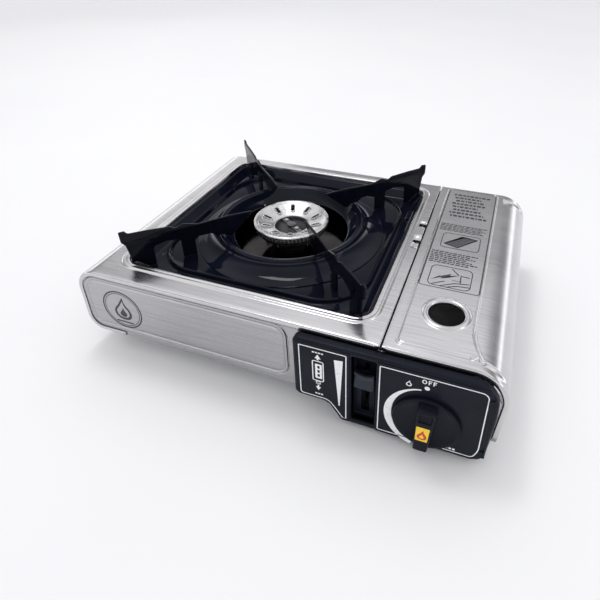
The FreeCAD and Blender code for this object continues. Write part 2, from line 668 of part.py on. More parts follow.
def screw_group(label, spots, direction, radius=2.8, height=1.4):
    heads = [Part.makeCylinder(radius, height, Vector(*spot), Vector(*direction)) for spot in spots]
    return solid(label, Part.makeCompound(heads))


def make_fasteners():
    screw_group("base_screws", [(x, y, floor_level - 1.4) for x in (-60, 20) for y in (-80, 100)], (0, 0, 1))
    screw_group("back_screws", [(x, back - 1.1, 60) for x in (-150, 60)], (0, 1, 0), 2.6, 1)
    screw_group("regulator_screws", [(size.knob_x + x, plate_front + gauge, 50) for x in (-14, 14)],
                (0, 1, 0), 2.4, 4)


def make_all():
    make_hood()
    make_lid()
    make_front_plate()
    make_back_plate()
    make_base_tray()
    make_partition()
    make_control_panel()
    make_knob()
    make_stem()
    make_lever()
    make_pusher()
    make_lever_mount()
    cylinder("lever_pin", 2, 9, facing((size.channel_x - 4.5, size.lever_pivot_y, size.lever_pivot_z), (1, 0, 0)))
    make_cradle()
    make_regulator()
    make_gas_parts()
    make_burner()
    make_mixing_tube()
    make_burner_bracket()
    make_ignition()
    make_drip_tray()
    make_wind_ring()
    make_pan_supports()
    make_hinge()
    make_panel_clips()
    make_feet()
    make_fasteners()


make_all()
doc.recompute()

for item in doc.Objects:
    if "Invalid" in item.State or "Error" in item.State:
        raise RuntimeError(f"{item.Label} failed: {item.State}")
for item in nodes:
    if item.Shape.isNull() or not item.Shape.isValid():
        raise RuntimeError(f"{item.Label} has no valid shape")

os.makedirs("parts", exist_ok=True)
for item in nodes:
    item.Shape.exportStep("parts/" + item.Label + ".step")
    print(f"{item.Label:24s} {len(item.Shape.Solids)} {item.Shape.Volume:10.0f}")
print(len(nodes), "nodes")
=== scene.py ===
import bpy
import bmesh
import math
from mathutils import Matrix, Vector


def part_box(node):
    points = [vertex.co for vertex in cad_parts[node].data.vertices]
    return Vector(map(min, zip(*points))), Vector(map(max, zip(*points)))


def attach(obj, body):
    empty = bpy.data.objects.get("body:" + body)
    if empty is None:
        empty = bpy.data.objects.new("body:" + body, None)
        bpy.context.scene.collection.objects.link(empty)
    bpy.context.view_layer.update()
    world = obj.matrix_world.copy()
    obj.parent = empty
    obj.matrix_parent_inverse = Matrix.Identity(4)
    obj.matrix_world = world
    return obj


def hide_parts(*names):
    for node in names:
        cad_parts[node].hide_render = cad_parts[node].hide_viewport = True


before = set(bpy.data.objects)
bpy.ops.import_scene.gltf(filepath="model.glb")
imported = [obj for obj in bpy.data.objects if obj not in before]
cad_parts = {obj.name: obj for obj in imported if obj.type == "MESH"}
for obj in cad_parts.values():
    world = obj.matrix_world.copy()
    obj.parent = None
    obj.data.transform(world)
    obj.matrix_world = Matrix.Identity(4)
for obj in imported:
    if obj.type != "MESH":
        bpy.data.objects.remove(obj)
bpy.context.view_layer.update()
scene = bpy.context.scene
MM = 0.001

# ---------------------------------------------------------------- camera
CAMERA_PLACE = (0.14334, -0.34998, 0.32631)
azimuth, elevation, roll = math.radians(20.1), math.radians(29.9), math.radians(-0.5)
away = Vector((math.sin(azimuth) * math.cos(elevation), -math.cos(azimuth) * math.cos(elevation),
               math.sin(elevation)))
level = (-away).cross(Vector((0, 0, 1))).normalized()
above = level.cross(-away)
across = level * math.cos(roll) + above * math.sin(roll)
upward = above * math.cos(roll) - level * math.sin(roll)
camera_data = bpy.data.cameras.new("camera")
camera_data.lens = 30.03
camera_data.sensor_width = 36
camera_data.shift_x = -0.06
camera_data.shift_y = -0.154
camera_data.clip_start = 0.01
camera = bpy.data.objects.new("camera", camera_data)
camera.matrix_world = Matrix.Translation(CAMERA_PLACE) @ Matrix((across, upward, away)).transposed().to_4x4()
scene.collection.objects.link(camera)
scene.camera = camera
scene.view_settings.view_transform = "Standard"


# ---------------------------------------------------------------- sizes and places, in millimetres
def corners(node):
    low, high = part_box(node)
    return Vector(low) / MM, Vector(high) / MM


hood_low, hood_high = corners("hood")
burner_low, burner_high = corners("burner_head")
knob_low, knob_high = corners("knob")
FRONT, BACK = hood_low.y, hood_high.y
LEFT, RIGHT = hood_low.x, corners("lid")[1].x
HOOD_EDGE = hood_high.x
LID_EDGE = HOOD_EDGE + 1.0
TOP = 81.0
PANEL_FRONT = corners("control_panel")[0].y
BURNER = Vector(((burner_low.x + burner_high.x) / 2, (burner_low.y + burner_high.y) / 2))
KNOB = Vector(((knob_low.x + knob_high.x) / 2, (knob_low.z + knob_high.z) / 2))
KNOB_TIP = knob_low.y
GAUGE = 0.8                                # thickness of the pressed sheet
LIP = 4                                    # depth of the lips turned down at the front and the back
OPENING = Vector((106.25, 103.4))          # half of the opening over the drip tray
OPENING_RADIUS = 12.0
HINGE_SLOTS = (17.35, 45.65)
LID_FIELD = (94.8, -108, 145.8, 128, 5)    # the lid's raised field and its corner radius
LID_RISE = 0.8
WINDOW = Vector((123.5, -68))
CHANNEL_FLOOR, CHANNEL_BACK = -112.6, -108.6


# ---------------------------------------------------------------- meshes
class Shape:
    """Points and faces of one piece, in millimetres, with a grain coordinate for each point."""

    def __init__(self):
        self.points, self.faces, self.grain = [], [], []

    def add(self, points, faces, grain=None):
        start = len(self.points)
        self.points += [tuple(p) for p in points]
        self.grain += [tuple(g) for g in (grain or points)]
        self.faces += [tuple(start + i for i in face) for face in faces]
        return self

    def rows(self, rows, closed=True, keep=None, grain=None):
        """Quads between rows of points. keep(row, column) says which quads stay."""
        count = len(rows[0])
        faces = []
        for r in range(len(rows) - 1):
            for c in range(count if closed else count - 1):
                if keep is None or keep(r, c):
                    n = (c + 1) % count
                    faces.append((r * count + c, r * count + n, (r + 1) * count + n, (r + 1) * count + c))
        points = [p for row in rows for p in row]
        return self.add(points, faces, [g for row in grain for g in row] if grain else None)

    def cap(self, row, flip=False):
        return self.add(row, [tuple(range(len(row)))[::-1 if flip else 1]])

    def turn(self, profile, centre, count):
        """A surface of revolution about a vertical axis: the profile is (radius, height)."""
        return self.rows([level_circle(centre, radius, height, count) for radius, height in profile])

    def mesh(self, name):
        mesh = bpy.data.meshes.new(name)
        mesh.from_pydata([Vector(p) * MM for p in self.points], [], self.faces)
        return mesh

    def object(self, name, body, slot, material, replaces="", sharp=32, thickness=0):
        mesh = self.mesh(name)
        layer = mesh.attributes.new("grain", "FLOAT_VECTOR", "POINT")
        layer.data.foreach_set("vector", [v * MM for g in self.grain for v in g])
        return finish_piece(mesh, name, body, slot, material, replaces, sharp, thickness)


def finish_piece(mesh, name, body, slot, material, replaces="", sharp=32, thickness=0, merge=0.01):
    """Cleans a mesh and makes it a piece: on its body, with its material, and in place of the CAD node it replaces.
    Its slot argument is not used.
    """
    work = bmesh.new()
    work.from_mesh(mesh)
    if merge:
        bmesh.ops.remove_doubles(work, verts=work.verts, dist=merge * MM)
    bmesh.ops.recalc_face_normals(work, faces=work.faces)
    work.to_mesh(mesh)
    work.free()
    mesh.shade_smooth()
    mesh.set_sharp_from_angle(angle=math.radians(sharp))
    mesh.materials.append(material)
    piece = bpy.data.objects.new(name, mesh)
    scene.collection.objects.link(piece)
    if thickness:
        solid = piece.modifiers.new("gauge", "SOLIDIFY")
        solid.thickness = thickness * MM
        solid.offset = -1
    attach(piece, body)
    if replaces:
        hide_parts(replaces)
    return piece


# Each plane is a matrix that sends a flat outline's (u, v, height) to its place on the object.
def on_front(y):
    return Matrix(((1, 0, 0, 0), (0, 0, -1, y), (0, 1, 0, 0), (0, 0, 0, 1)))


def on_top(z):
    return Matrix.Translation((0, 0, z))


def on_side(x):
    """The plane across the object at x: u is y and v is z."""
    return Matrix(((0, 0, 1, x), (1, 0, 0, 0), (0, 1, 0, 0), (0, 0, 0, 1)))


def standing(centre, angle):
    """A standing plane through a place: u runs out along the angle, v goes up."""
    return Matrix.Translation((centre.x, centre.y, 0)) @ Matrix.Rotation(angle, 4, "Z") @ on_front(0)


def flat_mesh(name, outlines, place, thickness=0.0, bevel=0.0, steps=2):
    """A flat shape with holes, as thick as asked and centred on its plane, its edges rounded."""
    curve = bpy.data.curves.new(name, "CURVE")
    curve.dimensions = "2D"
    curve.fill_mode = "BOTH"
    for loop in outlines:
        spline = curve.splines.new("POLY")
        spline.points.add(len(loop) - 1)
        for point, spot in zip(spline.points, loop):
            point.co = (spot[0], spot[1], 0, 1)
        spline.use_cyclic_u = True
    if thickness:
        curve.extrude = max(thickness / 2 - bevel, 0.0)
        curve.bevel_depth = bevel
        curve.offset = -bevel
        curve.bevel_resolution = steps
    holder = bpy.data.objects.new(name, curve)
    scene.collection.objects.link(holder)
    mesh = settled_mesh(holder)
    bpy.data.objects.remove(holder)
    bpy.data.curves.remove(curve)
    mesh.transform(Matrix.Scale(MM, 4) @ place)
    mesh.name = name
    mesh.materials.clear()
    for polygon in mesh.polygons:
        polygon.material_index = 0
    return mesh


def settled_mesh(thing):
    """The mesh of a curve or of a piece with its modifiers."""
    bpy.context.view_layer.update()
    return bpy.data.meshes.new_from_object(thing.evaluated_get(bpy.context.evaluated_depsgraph_get()))


def joined(name, meshes):
    """One mesh of several."""
    work = bmesh.new()
    for mesh in meshes:
        work.from_mesh(mesh)
        bpy.data.meshes.remove(mesh)
    mesh = bpy.data.meshes.new(name)
    work.to_mesh(mesh)
    work.free()
    return mesh


# ---------------------------------------------------------------- outlines
def fillet(before, here, after, radius):
    """The arc that rounds a corner: its centre, the arms from there to its start and its end, and its turn."""
    before, after = (before - here).normalized(), (after - here).normalized()
    half = before.angle(after) / 2
    centre = here + (before + after).normalized() * radius / math.sin(half)
    start = here + before * radius / math.tan(half) - centre
    end = here + after * radius / math.tan(half) - centre
    return centre, start, end, math.atan2(start.x * end.y - start.y * end.x, start.dot(end))


def fillet_at(points, i, radius):
    """The centre, the first arm and the turn of the arc at one corner of a closed outline."""
    before, here, after = (Vector(points[k % len(points)][:2]) for k in (i - 1, i, i + 1))
    centre, start, _, turn = fillet(before, here, after, radius)
    return centre, start, turn


def spun(arm, angle):
    return Vector((arm.x * math.cos(angle) - arm.y * math.sin(angle),
                   arm.x * math.sin(angle) + arm.y * math.cos(angle)))


def rounded(points, steps=8):
    """A closed outline from (u, v) or (u, v, corner radius) points."""
    out = []
    for i, point in enumerate(points):
        radius = point[2] if len(point) > 2 else 0
        if radius <= 0:
            out.append(tuple(point[:2]))
            continue
        centre, start, turn = fillet_at(points, i, radius)
        out += [tuple(centre + spun(start, turn * k / steps)) for k in range(steps + 1)]
    return out


def grown(points, grow, steps=8):
    """The loop of a convex rounded outline, moved outwards; its count of points stays the same."""
    out = []
    for i, (_, _, radius) in enumerate(points):
        centre, start, turn = fillet_at(points, i, radius)
        arm = start.normalized()
        out += [tuple(centre + spun(arm, turn * k / steps) * (radius + grow)) for k in range(steps + 1)]
    return out


def tiers(outline, levels, steps=8):
    """Loops of a convex rounded outline on the front: each level is (how much it grows, y)."""
    return [[(u, y, v) for u, v in grown(outline, grow, steps)] for grow, y in levels]


def box_points(u0, v0, u1, v1, radius=0.0):
    return [(u0, v0, radius), (u1, v0, radius), (u1, v1, radius), (u0, v1, radius)]


def disc(u, v, radius, count=48):
    angles = [2 * math.pi * i / count for i in range(count)]
    return [(u + radius * math.cos(a), v + radius * math.sin(a)) for a in angles]


def level_circle(centre, radius, height, count):
    return [(x, y, height) for x, y in disc(centre.x, centre.y, radius, count)]


def level_box(half, radius, height, steps=23):
    """A level loop round a rounded box about the burner. Every loop has the same count of points."""
    loop = []
    for sx, sy, start in ((1, 1, 0), (-1, 1, 90), (-1, -1, 180), (1, -1, 270)):
        core = BURNER + Vector((sx * (half.x - radius), sy * (half.y - radius)))
        for k in range(steps + 1):
            a = math.radians(start + 90 * k / steps)
            loop.append((core.x + radius * math.cos(a), core.y + radius * math.sin(a), height))
    return loop


def ribbon(points, width):
    """The outline of a stroke of even width through the points."""
    left, right = [], []
    for i, point in enumerate(points):
        along = (Vector(points[min(i + 1, len(points) - 1)]) - Vector(points[max(i - 1, 0)])).normalized()
        side = Vector((-along.y, along.x)) * width / 2
        left.append(tuple(Vector(point) + side))
        right.append(tuple(Vector(point) - side))
    return left + right[::-1]


def border(points, width, steps=6):
    """The two loops of an even line that runs inside a convex rounded outline."""
    return [grown(points, 0, steps), grown(points, -width, steps)]


def moved_in(outline, width):
    """A closed outline's loop, moved inwards; the outline may have hollow corners and run either way."""
    area = sum(outline[i - 1][0] * outline[i][1] - outline[i][0] * outline[i - 1][1] for i in range(len(outline)))
    sign = 1 if area > 0 else -1
    out = []
    for i, point in enumerate(outline):
        before, after = Vector(outline[i - 1]), Vector(outline[(i + 1) % len(outline)])
        here = Vector(point)
        first, second = (here - before), (after - here)
        if first.length < 1e-6 or second.length < 1e-6:
            first = second = after - before
        first, second = first.normalized(), second.normalized()
        side = Vector((-first.y, first.x)) * sign
        inward = (side + Vector((-second.y, second.x)) * sign).normalized()
        out.append(tuple(here + inward * width / max(inward.dot(side), 0.3)))
    return out


def smooth(t):
    t = min(max(t, 0.0), 1.0)
    return t * t * (3 - 2 * t)


def hump(t):
    """A smooth hump: 1 at t = 0, and 0 from 1 on, on both sides."""
    return max(0, 1 - t ** 2) ** 2


def inside_box(u, v, u0, v0, u1, v1, radius):
    """How far a point is inside a rounded box; negative outside."""
    qx = abs(u - (u0 + u1) / 2) - (u1 - u0) / 2 + radius
    qy = abs(v - (v0 + v1) / 2) - (v1 - v0) / 2 + radius
    return -(math.hypot(max(qx, 0), max(qy, 0)) + min(max(qx, qy), 0) - radius)


# ---------------------------------------------------------------- pressed sheet
class Track:
    """A path of lines and arcs in the X-Z plane, measured by its length. Its outside is on its left."""

    def __init__(self, points):
        self.parts, self.length = [], 0.0
        spot = Vector(points[0][:2])
        for i in range(1, len(points)):
            here = Vector(points[i][:2])
            if len(points[i]) > 2:
                radius = points[i][2]
                centre, arm, end, turn = fillet(spot, here, Vector(points[i + 1][:2]), radius)
                self._line(spot, centre + arm)
                self.parts.append((self.length, radius * abs(turn), centre, arm, turn))
                self.length += radius * abs(turn)
                spot = centre + end
            else:
                self._line(spot, here)
                spot = here

    def _line(self, start, end):
        self.parts.append((self.length, (end - start).length, start, end - start, None))
        self.length += (end - start).length

    def at(self, s):
        """The place and the outward normal at a length along the path."""
        for start, length, base, arm, turn in self.parts:
            if s <= start + length + 1e-9 or (start, length) == self.parts[-1][:2]:
                t = (s - start) / length if length else 0
                if turn is None:
                    along = arm.normalized()
                    return base + arm * t, Vector((-along.y, along.x))
                arm = spun(arm, turn * t)
                return base + arm, arm.normalized() * (1 if turn < 0 else -1)


def spread(*ranges):
    """Sorted places: each range is (start, end, step)."""
    places = set()
    for start, end, step in ranges:
        count = max(1, round((end - start) / step))
        places.update(round(start + (end - start) * i / count, 4) for i in range(count + 1))
    return sorted(places)


def skin(shape, track, stations, lines, edge_radius, height, hole, tuck):
    """Pressed sheet along a track: lines are places in Y between the lips, hole(s, y) leaves quads out.
    tuck(s) is how much of the lip is left there."""
    bends = [math.pi / 2 * i / 5 for i in range(1, 6)]
    curl = [(edge_radius * (1 - math.sin(a)), edge_radius * (1 - math.cos(a))) for a in bends]
    section = [(FRONT, LIP), (FRONT, (LIP + edge_radius) / 2)]
    section += [(FRONT + inwards, drop) for inwards, drop in curl[::-1]]
    section += [(y, 0.0) for y in lines]
    section += [(BACK - inwards, drop) for inwards, drop in curl]
    section += [(BACK, (LIP + edge_radius) / 2), (BACK, LIP)]
    rows, grain = [], []
    for s in stations:
        place, normal = track.at(s)
        row = []
        for y, drop in section:
            lift = height(s, y) if drop == 0 else 0
            spot = place + normal * (lift - drop * tuck(s))
            row.append((spot.x, y, spot.y))
        rows.append(row)
        grain.append([(s, y - drop if y < 0 else y + drop, 0) for y, drop in section])
    middles = [(section[i][0] + section[i + 1][0]) / 2 for i in range(len(section) - 1)]

    def keep(r, c):
        return not hole((stations[r] + stations[r + 1]) / 2, middles[c])

    shape.rows(rows, closed=False, keep=keep, grain=grain)


def patch(shape, low, high, xs, ys, loops_at, z, shift):
    """Fills a block left out of a skin: from its edge, in to the loops that loops_at(point) gives."""
    near = 1e-3
    xs = [x for x in xs if low[0] - near <= x <= high[0] + near]
    ys = [y for y in ys if low[1] - near <= y <= high[1] + near]
    edge = [(x, low[1]) for x in xs[:-1]] + [(high[0], y) for y in ys[:-1]]
    edge += [(x, high[1]) for x in xs[:0:-1]] + [(low[0], y) for y in ys[:0:-1]]
    inward = [loops_at(Vector(p)) for p in edge]
    rows = [[(x, y, z) for x, y in edge]] + [list(loop) for loop in zip(*inward)]
    grain = [[(p[0] + shift, p[1], 0) for p in row] for row in rows]
    shape.rows(rows, grain=grain)


# ---------------------------------------------------------------- materials
class Paint:
    """A procedural material: its shader, and short names for the nodes it is made of."""

    def __init__(self, name, colour, metallic=0.0, roughness=0.4, coordinate="Object", **constants):
        self.material = bpy.data.materials.new(name)
        self.material.use_nodes = True
        self.nodes = self.material.node_tree.nodes
        self.links = self.material.node_tree.links
        self.shader = self.nodes["Principled BSDF"]
        self.set("Base Color", (*colour, 1))
        self.set("Metallic", metallic)
        self.set("Roughness", roughness)
        for key, value in constants.items():
            self.set(key.replace("_", " "), value)
        if coordinate == "Object":
            self.where = self.nodes.new("ShaderNodeTexCoord").outputs["Object"]
        else:
            node = self.nodes.new("ShaderNodeAttribute")
            node.attribute_name = coordinate
            self.where = node.outputs["Vector"]

    def set(self, socket, value):
        if isinstance(value, bpy.types.NodeSocket):
            self.links.new(value, self.shader.inputs[socket])
        else:
            self.shader.inputs[socket].default_value = value

    def noise(self, scale, detail=3.0, roughness=0.55):
        """Noise at a frequency per metre along each axis."""
        mapping = self.nodes.new("ShaderNodeMapping")
        mapping.inputs["Scale"].default_value = scale if isinstance(scale, tuple) else (scale,) * 3
        self.links.new(self.where, mapping.inputs["Vector"])
        node = self.nodes.new("ShaderNodeTexNoise")
        for name, number in (("Scale", 1.0), ("Detail", detail), ("Roughness", roughness)):
            node.inputs[name].default_value = number
        self.links.new(mapping.outputs["Vector"], node.inputs["Vector"])
        return node.outputs["Fac"]

    def span(self, value, low, high, start=0.3, end=0.7):
        node = self.nodes.new("ShaderNodeMapRange")
        for name, number in (("From Min", start), ("From Max", end), ("To Min", low), ("To Max", high)):
            node.inputs[name].default_value = number
        self.links.new(value, node.inputs["Value"])
        return node.outputs["Result"]

    def colours(self, value, *stops):
        """A colour ramp: each stop is (place, colour)."""
        node = self.nodes.new("ShaderNodeValToRGB")
        ramp = node.color_ramp
        while len(ramp.elements) < len(stops):
            ramp.elements.new(0.5)
        for element, (place, colour) in zip(ramp.elements, stops):
            element.position = place
            element.color = (*colour, 1)
        self.links.new(value, node.inputs["Fac"])
        return node.outputs["Color"]

    def sum(self, first, second, share=0.5):
        """The first value plus a share of the second."""
        node = self.nodes.new("ShaderNodeMath")
        node.operation = "MULTIPLY_ADD"
        node.inputs[1].default_value = share
        self.links.new(second, node.inputs[0])
        self.links.new(first, node.inputs[2])
        return node.outputs[0]

    def dress(self, colour, roughness, height, distance, strength=1.0):
        """Sets the colour, the roughness and a bump of so many millimetres, and gives the material."""
        self.set("Base Color", colour)
        self.set("Roughness", roughness)
        node = self.nodes.new("ShaderNodeBump")
        node.inputs["Distance"].default_value = distance * MM
        node.inputs["Strength"].default_value = strength
        self.links.new(height, node.inputs["Height"])
        self.set("Normal", node.outputs["Normal"])
        return self.material


def brushed(name, light, dark, coordinate, along, across, rough=(0.2, 0.36), depth=0.012):
    """Sheet steel with a brushed grain: along and across are the streaks' frequencies per metre."""
    paint = Paint(name, light, 1.0, 0.3, coordinate)
    streaks = paint.noise((along, across, across), 4, 0.6)
    fine = paint.noise((along * 3, across * 4, across * 4), 2, 0.5)
    blotches = paint.noise((9, 14, 11), 3, 0.5)
    worn = paint.sum(streaks, blotches, 0.7)
    bright = tuple(min(1, c * 1.08) for c in light)
    colour = paint.colours(paint.span(worn, 0, 1, 0.55, 1.15), (0, dark), (0.55, light), (1, bright))
    roughness = paint.span(paint.sum(fine, blotches, 0.6), *rough, 0.5, 1.1)
    return paint.dress(colour, roughness, paint.sum(streaks, fine, 0.6), depth)


def enamel(name, colour, tint, roughness=0.06):
    """Thick glossy enamel over steel, with a faint orange peel and a few dull specks."""
    paint = Paint(name, colour, 0.0, roughness, Specular_IOR_Level=0.16)
    cloud = paint.noise(28, 3)
    specks = paint.noise(900, 2)
    colour = paint.colours(cloud, (0.35, colour), (0.7, tint))
    roughness = paint.span(paint.sum(cloud, specks, 0.4), roughness * 0.7, roughness * 2.2, 0.5, 0.95)
    return paint.dress(colour, roughness, paint.noise(260, 2), 0.03, 0.5)


def moulded(name, colour, tint, roughness=0.35, grain=0.02, shine=0.3):
    """Moulded plastic with a fine spark-eroded grain."""
    paint = Paint(name, colour, 0.0, roughness, Specular_IOR_Level=shine)
    cloud = paint.noise(40, 3)
    sand = paint.noise(2600, 2)
    colour = paint.colours(cloud, (0.3, colour), (0.75, tint))
    roughness = paint.span(paint.sum(sand, cloud, 0.5), roughness * 0.8, roughness * 1.25, 0.5, 1.0)
    return paint.dress(colour, roughness, sand, grain, 0.6)


def metal(name, light, dark, roughness=0.3, scale=60, grain=0.02, fine=1500):
    """Plain or cast metal, mottled, with a fine grain."""
    paint = Paint(name, light, 1.0, roughness)
    cloud = paint.noise(scale, 4)
    sand = paint.noise(fine, 3)
    colour = paint.colours(paint.sum(cloud, sand, 0.35), (0.5, dark), (0.8, light))
    roughness = paint.span(paint.sum(cloud, sand, 0.5), roughness * 0.7, roughness * 1.4, 0.5, 1.0)
    return paint.dress(colour, roughness, sand, grain, 0.7)


def printed(name, colour, tint, roughness=0.45):
    """Screen-printed ink: a little uneven, with pinholes."""
    paint = Paint(name, colour, 0.0, roughness)
    colour = paint.colours(paint.noise(1200, 3), (0.28, tint), (0.42, colour))
    roughness = paint.span(paint.noise(700, 2), roughness * 0.85, roughness * 1.2)
    return paint.dress(colour, roughness, paint.noise(2200, 2), 0.01, 0.5)


STEEL = brushed("brushed_steel", (0.62, 0.612, 0.618), (0.49, 0.485, 0.495), "grain", 22, 1100, (0.15, 0.28))
# The same brushed stainless as the tops, with its colours darkened for the front plate and the CAD stainless parts:
# painted shade, a shaded copy of one material.
STEEL_SHADED_FACE = brushed("brushed_steel_shaded_face", (0.44, 0.435, 0.445), (0.345, 0.34, 0.352), "Object", 22, 1100, (0.2, 0.34))
ZINC = metal("galvanised_sheet", (0.66, 0.67, 0.68), (0.42, 0.43, 0.44), 0.5, 90, 0.02)
ENAMEL = enamel("black_enamel", (0.0035, 0.0045, 0.010), (0.006, 0.008, 0.018))
BLADE = enamel("support_enamel", (0.0025, 0.003, 0.006), (0.004, 0.005, 0.011), 0.1)
PANEL = moulded("panel_black", (0.007, 0.009, 0.015), (0.0105, 0.013, 0.021), 0.3, 0.012, 0.1)
KNOB_BLACK = moulded("knob_black", (0.0075, 0.0095, 0.015), (0.011, 0.0135, 0.02), 0.34, 0.02, 0.07)
LEVER_BLACK = moulded("lever_black", (0.012, 0.017, 0.026), (0.022, 0.03, 0.042), 0.28, 0.01, 0.25)
ALUMINIUM = metal("burner_cast", (0.64, 0.64, 0.635), (0.52, 0.52, 0.52), 0.28, 140, 0.02, 1100)
# Cast grey metal of the burner base, with its colour lowered to 0.2 for the shade under the burner head: partly its
# own grey, partly painted shade.
CAST_GREY_SHADED = metal("cast_grey", (0.2, 0.2, 0.21), (0.1, 0.1, 0.105), 0.45, 120, 0.05, 900)
# The polished reflector under the burner, with its colour darkened far below bright steel to stand in for the shade
# in the recess under the wind ring: painted shade.
REFLECTOR_SHADED = metal("reflector", (0.085, 0.08, 0.076), (0.04, 0.038, 0.037), 0.1, 50, 0.01)
FIXING = metal("fixing_steel", (0.62, 0.62, 0.61), (0.45, 0.45, 0.45), 0.28, 300, 0.01)
BRASS = metal("brass", (0.72, 0.53, 0.24), (0.5, 0.35, 0.14), 0.3, 200, 0.01)
RUBBER = moulded("rubber", (0.012, 0.012, 0.012), (0.024, 0.024, 0.024), 0.7, 0.05)
CERAMIC = printed("ceramic", (0.8, 0.79, 0.75), (0.6, 0.59, 0.55), 0.3)
IGNITER = moulded("igniter_plastic", (0.5, 0.5, 0.47), (0.56, 0.56, 0.53), 0.4)
WHITE_INK = printed("white_ink", (0.86, 0.87, 0.88), (0.5, 0.5, 0.52))
DARK_INK = printed("dark_ink", (0.025, 0.025, 0.032), (0.07, 0.07, 0.08))
YELLOW_INK = printed("yellow_ink", (0.93, 0.62, 0.03), (0.8, 0.5, 0.03))
RED_INK = printed("red_ink", (0.55, 0.04, 0.015), (0.35, 0.03, 0.02))

SLOT_PAINT = {
    "stainless_steel": STEEL_SHADED_FACE, "galvanised_steel": ZINC, "black_enamel": ENAMEL, "black_panel": PANEL,
    "lever_black": LEVER_BLACK, "burner_aluminium": ALUMINIUM, "cast_grey": CAST_GREY_SHADED, "polished_reflector": REFLECTOR_SHADED,
    "steel_hardware": FIXING, "brass_fittings": BRASS, "black_rubber": RUBBER, "white_ceramic": CERAMIC,
    "igniter_plastic": IGNITER,
}
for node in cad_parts.values():
    for place in node.material_slots:
        place.material = SLOT_PAINT[place.material.name]
# The panel clips take the black panel paint in place of their own slot's paint, so they show as dark slots: painted
# shade.
for node in ("panel_clip_top", "panel_clip_bottom"):
    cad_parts[node].material_slots[0].material = PANEL

# ---------------------------------------------------------------- hood and lid
TUCK, TUCK_REACH = 0.86, 4    # how much of the lips is folded away beside a turned edge, and how far from it


def hood():
    """The left casing: pressed sheet, a bead round the tray's opening, and slots for the lid's hinge fingers."""
    track = Track([(LEFT + 37, 18), (LEFT, 18, 14), (LEFT, TOP, 20), (HOOD_EDGE, TOP, 1.0), (HOOD_EDGE, TOP - 5)])
    lower, shoulder, flat, turn = track.parts[1], track.parts[3], track.parts[4], track.parts[5]
    margin = OPENING + Vector((7.65, 7.65))
    low, high = BURNER - margin, BURNER + margin
    slots = [(hinge_y - 3, hinge_y + 3) for hinge_y in HINGE_SLOTS]
    xs = spread((flat[2].x, low.x, 2), (low.x, low.x + 20, 1.6), (low.x + 20, high.x - 20, 12),
                (high.x - 20, high.x, 1.6), (high.x, HOOD_EDGE - 1, 1.8))
    ys = spread((FRONT + 1.6, low.y, 3), (low.y, low.y + 20, 1.6), (low.y + 20, high.y - 20, 12),
                (high.y - 20, high.y, 1.6), (high.y, BACK - 1.6, 2.5), *[(a, b, 2) for a, b in slots])
    stations = spread((0, lower[0], 6), (lower[0], lower[0] + lower[1], 2), (lower[0] + lower[1], shoulder[0], 10),
                      (shoulder[0], flat[0], 1.4), (turn[0], turn[0] + turn[1], 0.4),
                      (turn[0] + turn[1], track.length, 2))
    stations = sorted(set(stations) | {round(flat[0] + x - flat[2].x, 4) for x in xs})

    def hole(s, y):
        x = s - flat[0] + flat[2].x
        in_block = low.x < x < high.x and low.y < y < high.y
        return in_block or (x > high.x and any(a < y < b for a, b in slots))

    shape = Shape()
    skin(shape, track, stations, ys, 1.6, lambda s, y: 0.0, hole,
         lambda s: 1 - TUCK * smooth((s - turn[0] + TUCK_REACH) / TUCK_REACH))
    bead = [(7.6, 0), (7.45, 0), (7.2, 0), (6.8, 0.03), (6.4, 0.16), (6.0, 0.45), (5.6, 0.8), (5.1, 1.06),
            (4.5, 1.16), (3.9, 1.0), (3.3, 0.86), (2.7, 0.9), (2.1, 1.08), (1.5, 1.18), (0.9, 1.14), (0.45, 0.9),
            (0.12, 0.45), (0.0, 0.0), (0.0, -2.1), (-0.15, -2.45), (-0.5, -2.68), (-1.0, -2.7), (-3.5, -2.7)]
    core = OPENING - Vector((OPENING_RADIUS, OPENING_RADIUS))

    def loops_at(point):
        arm = point - BURNER
        middle = Vector((min(max(arm.x, -core.x), core.x), min(max(arm.y, -core.y), core.y)))
        out = (arm - middle).normalized()
        return [(*(BURNER + middle + out * (OPENING_RADIUS + d)), TOP + z) for d, z in bead]

    patch(shape, low, high, xs, ys, loops_at, TOP, flat[0] - flat[2].x)
    shape.object("hood_pressed", "base", "stainless_steel", STEEL, "hood", thickness=GAUGE)


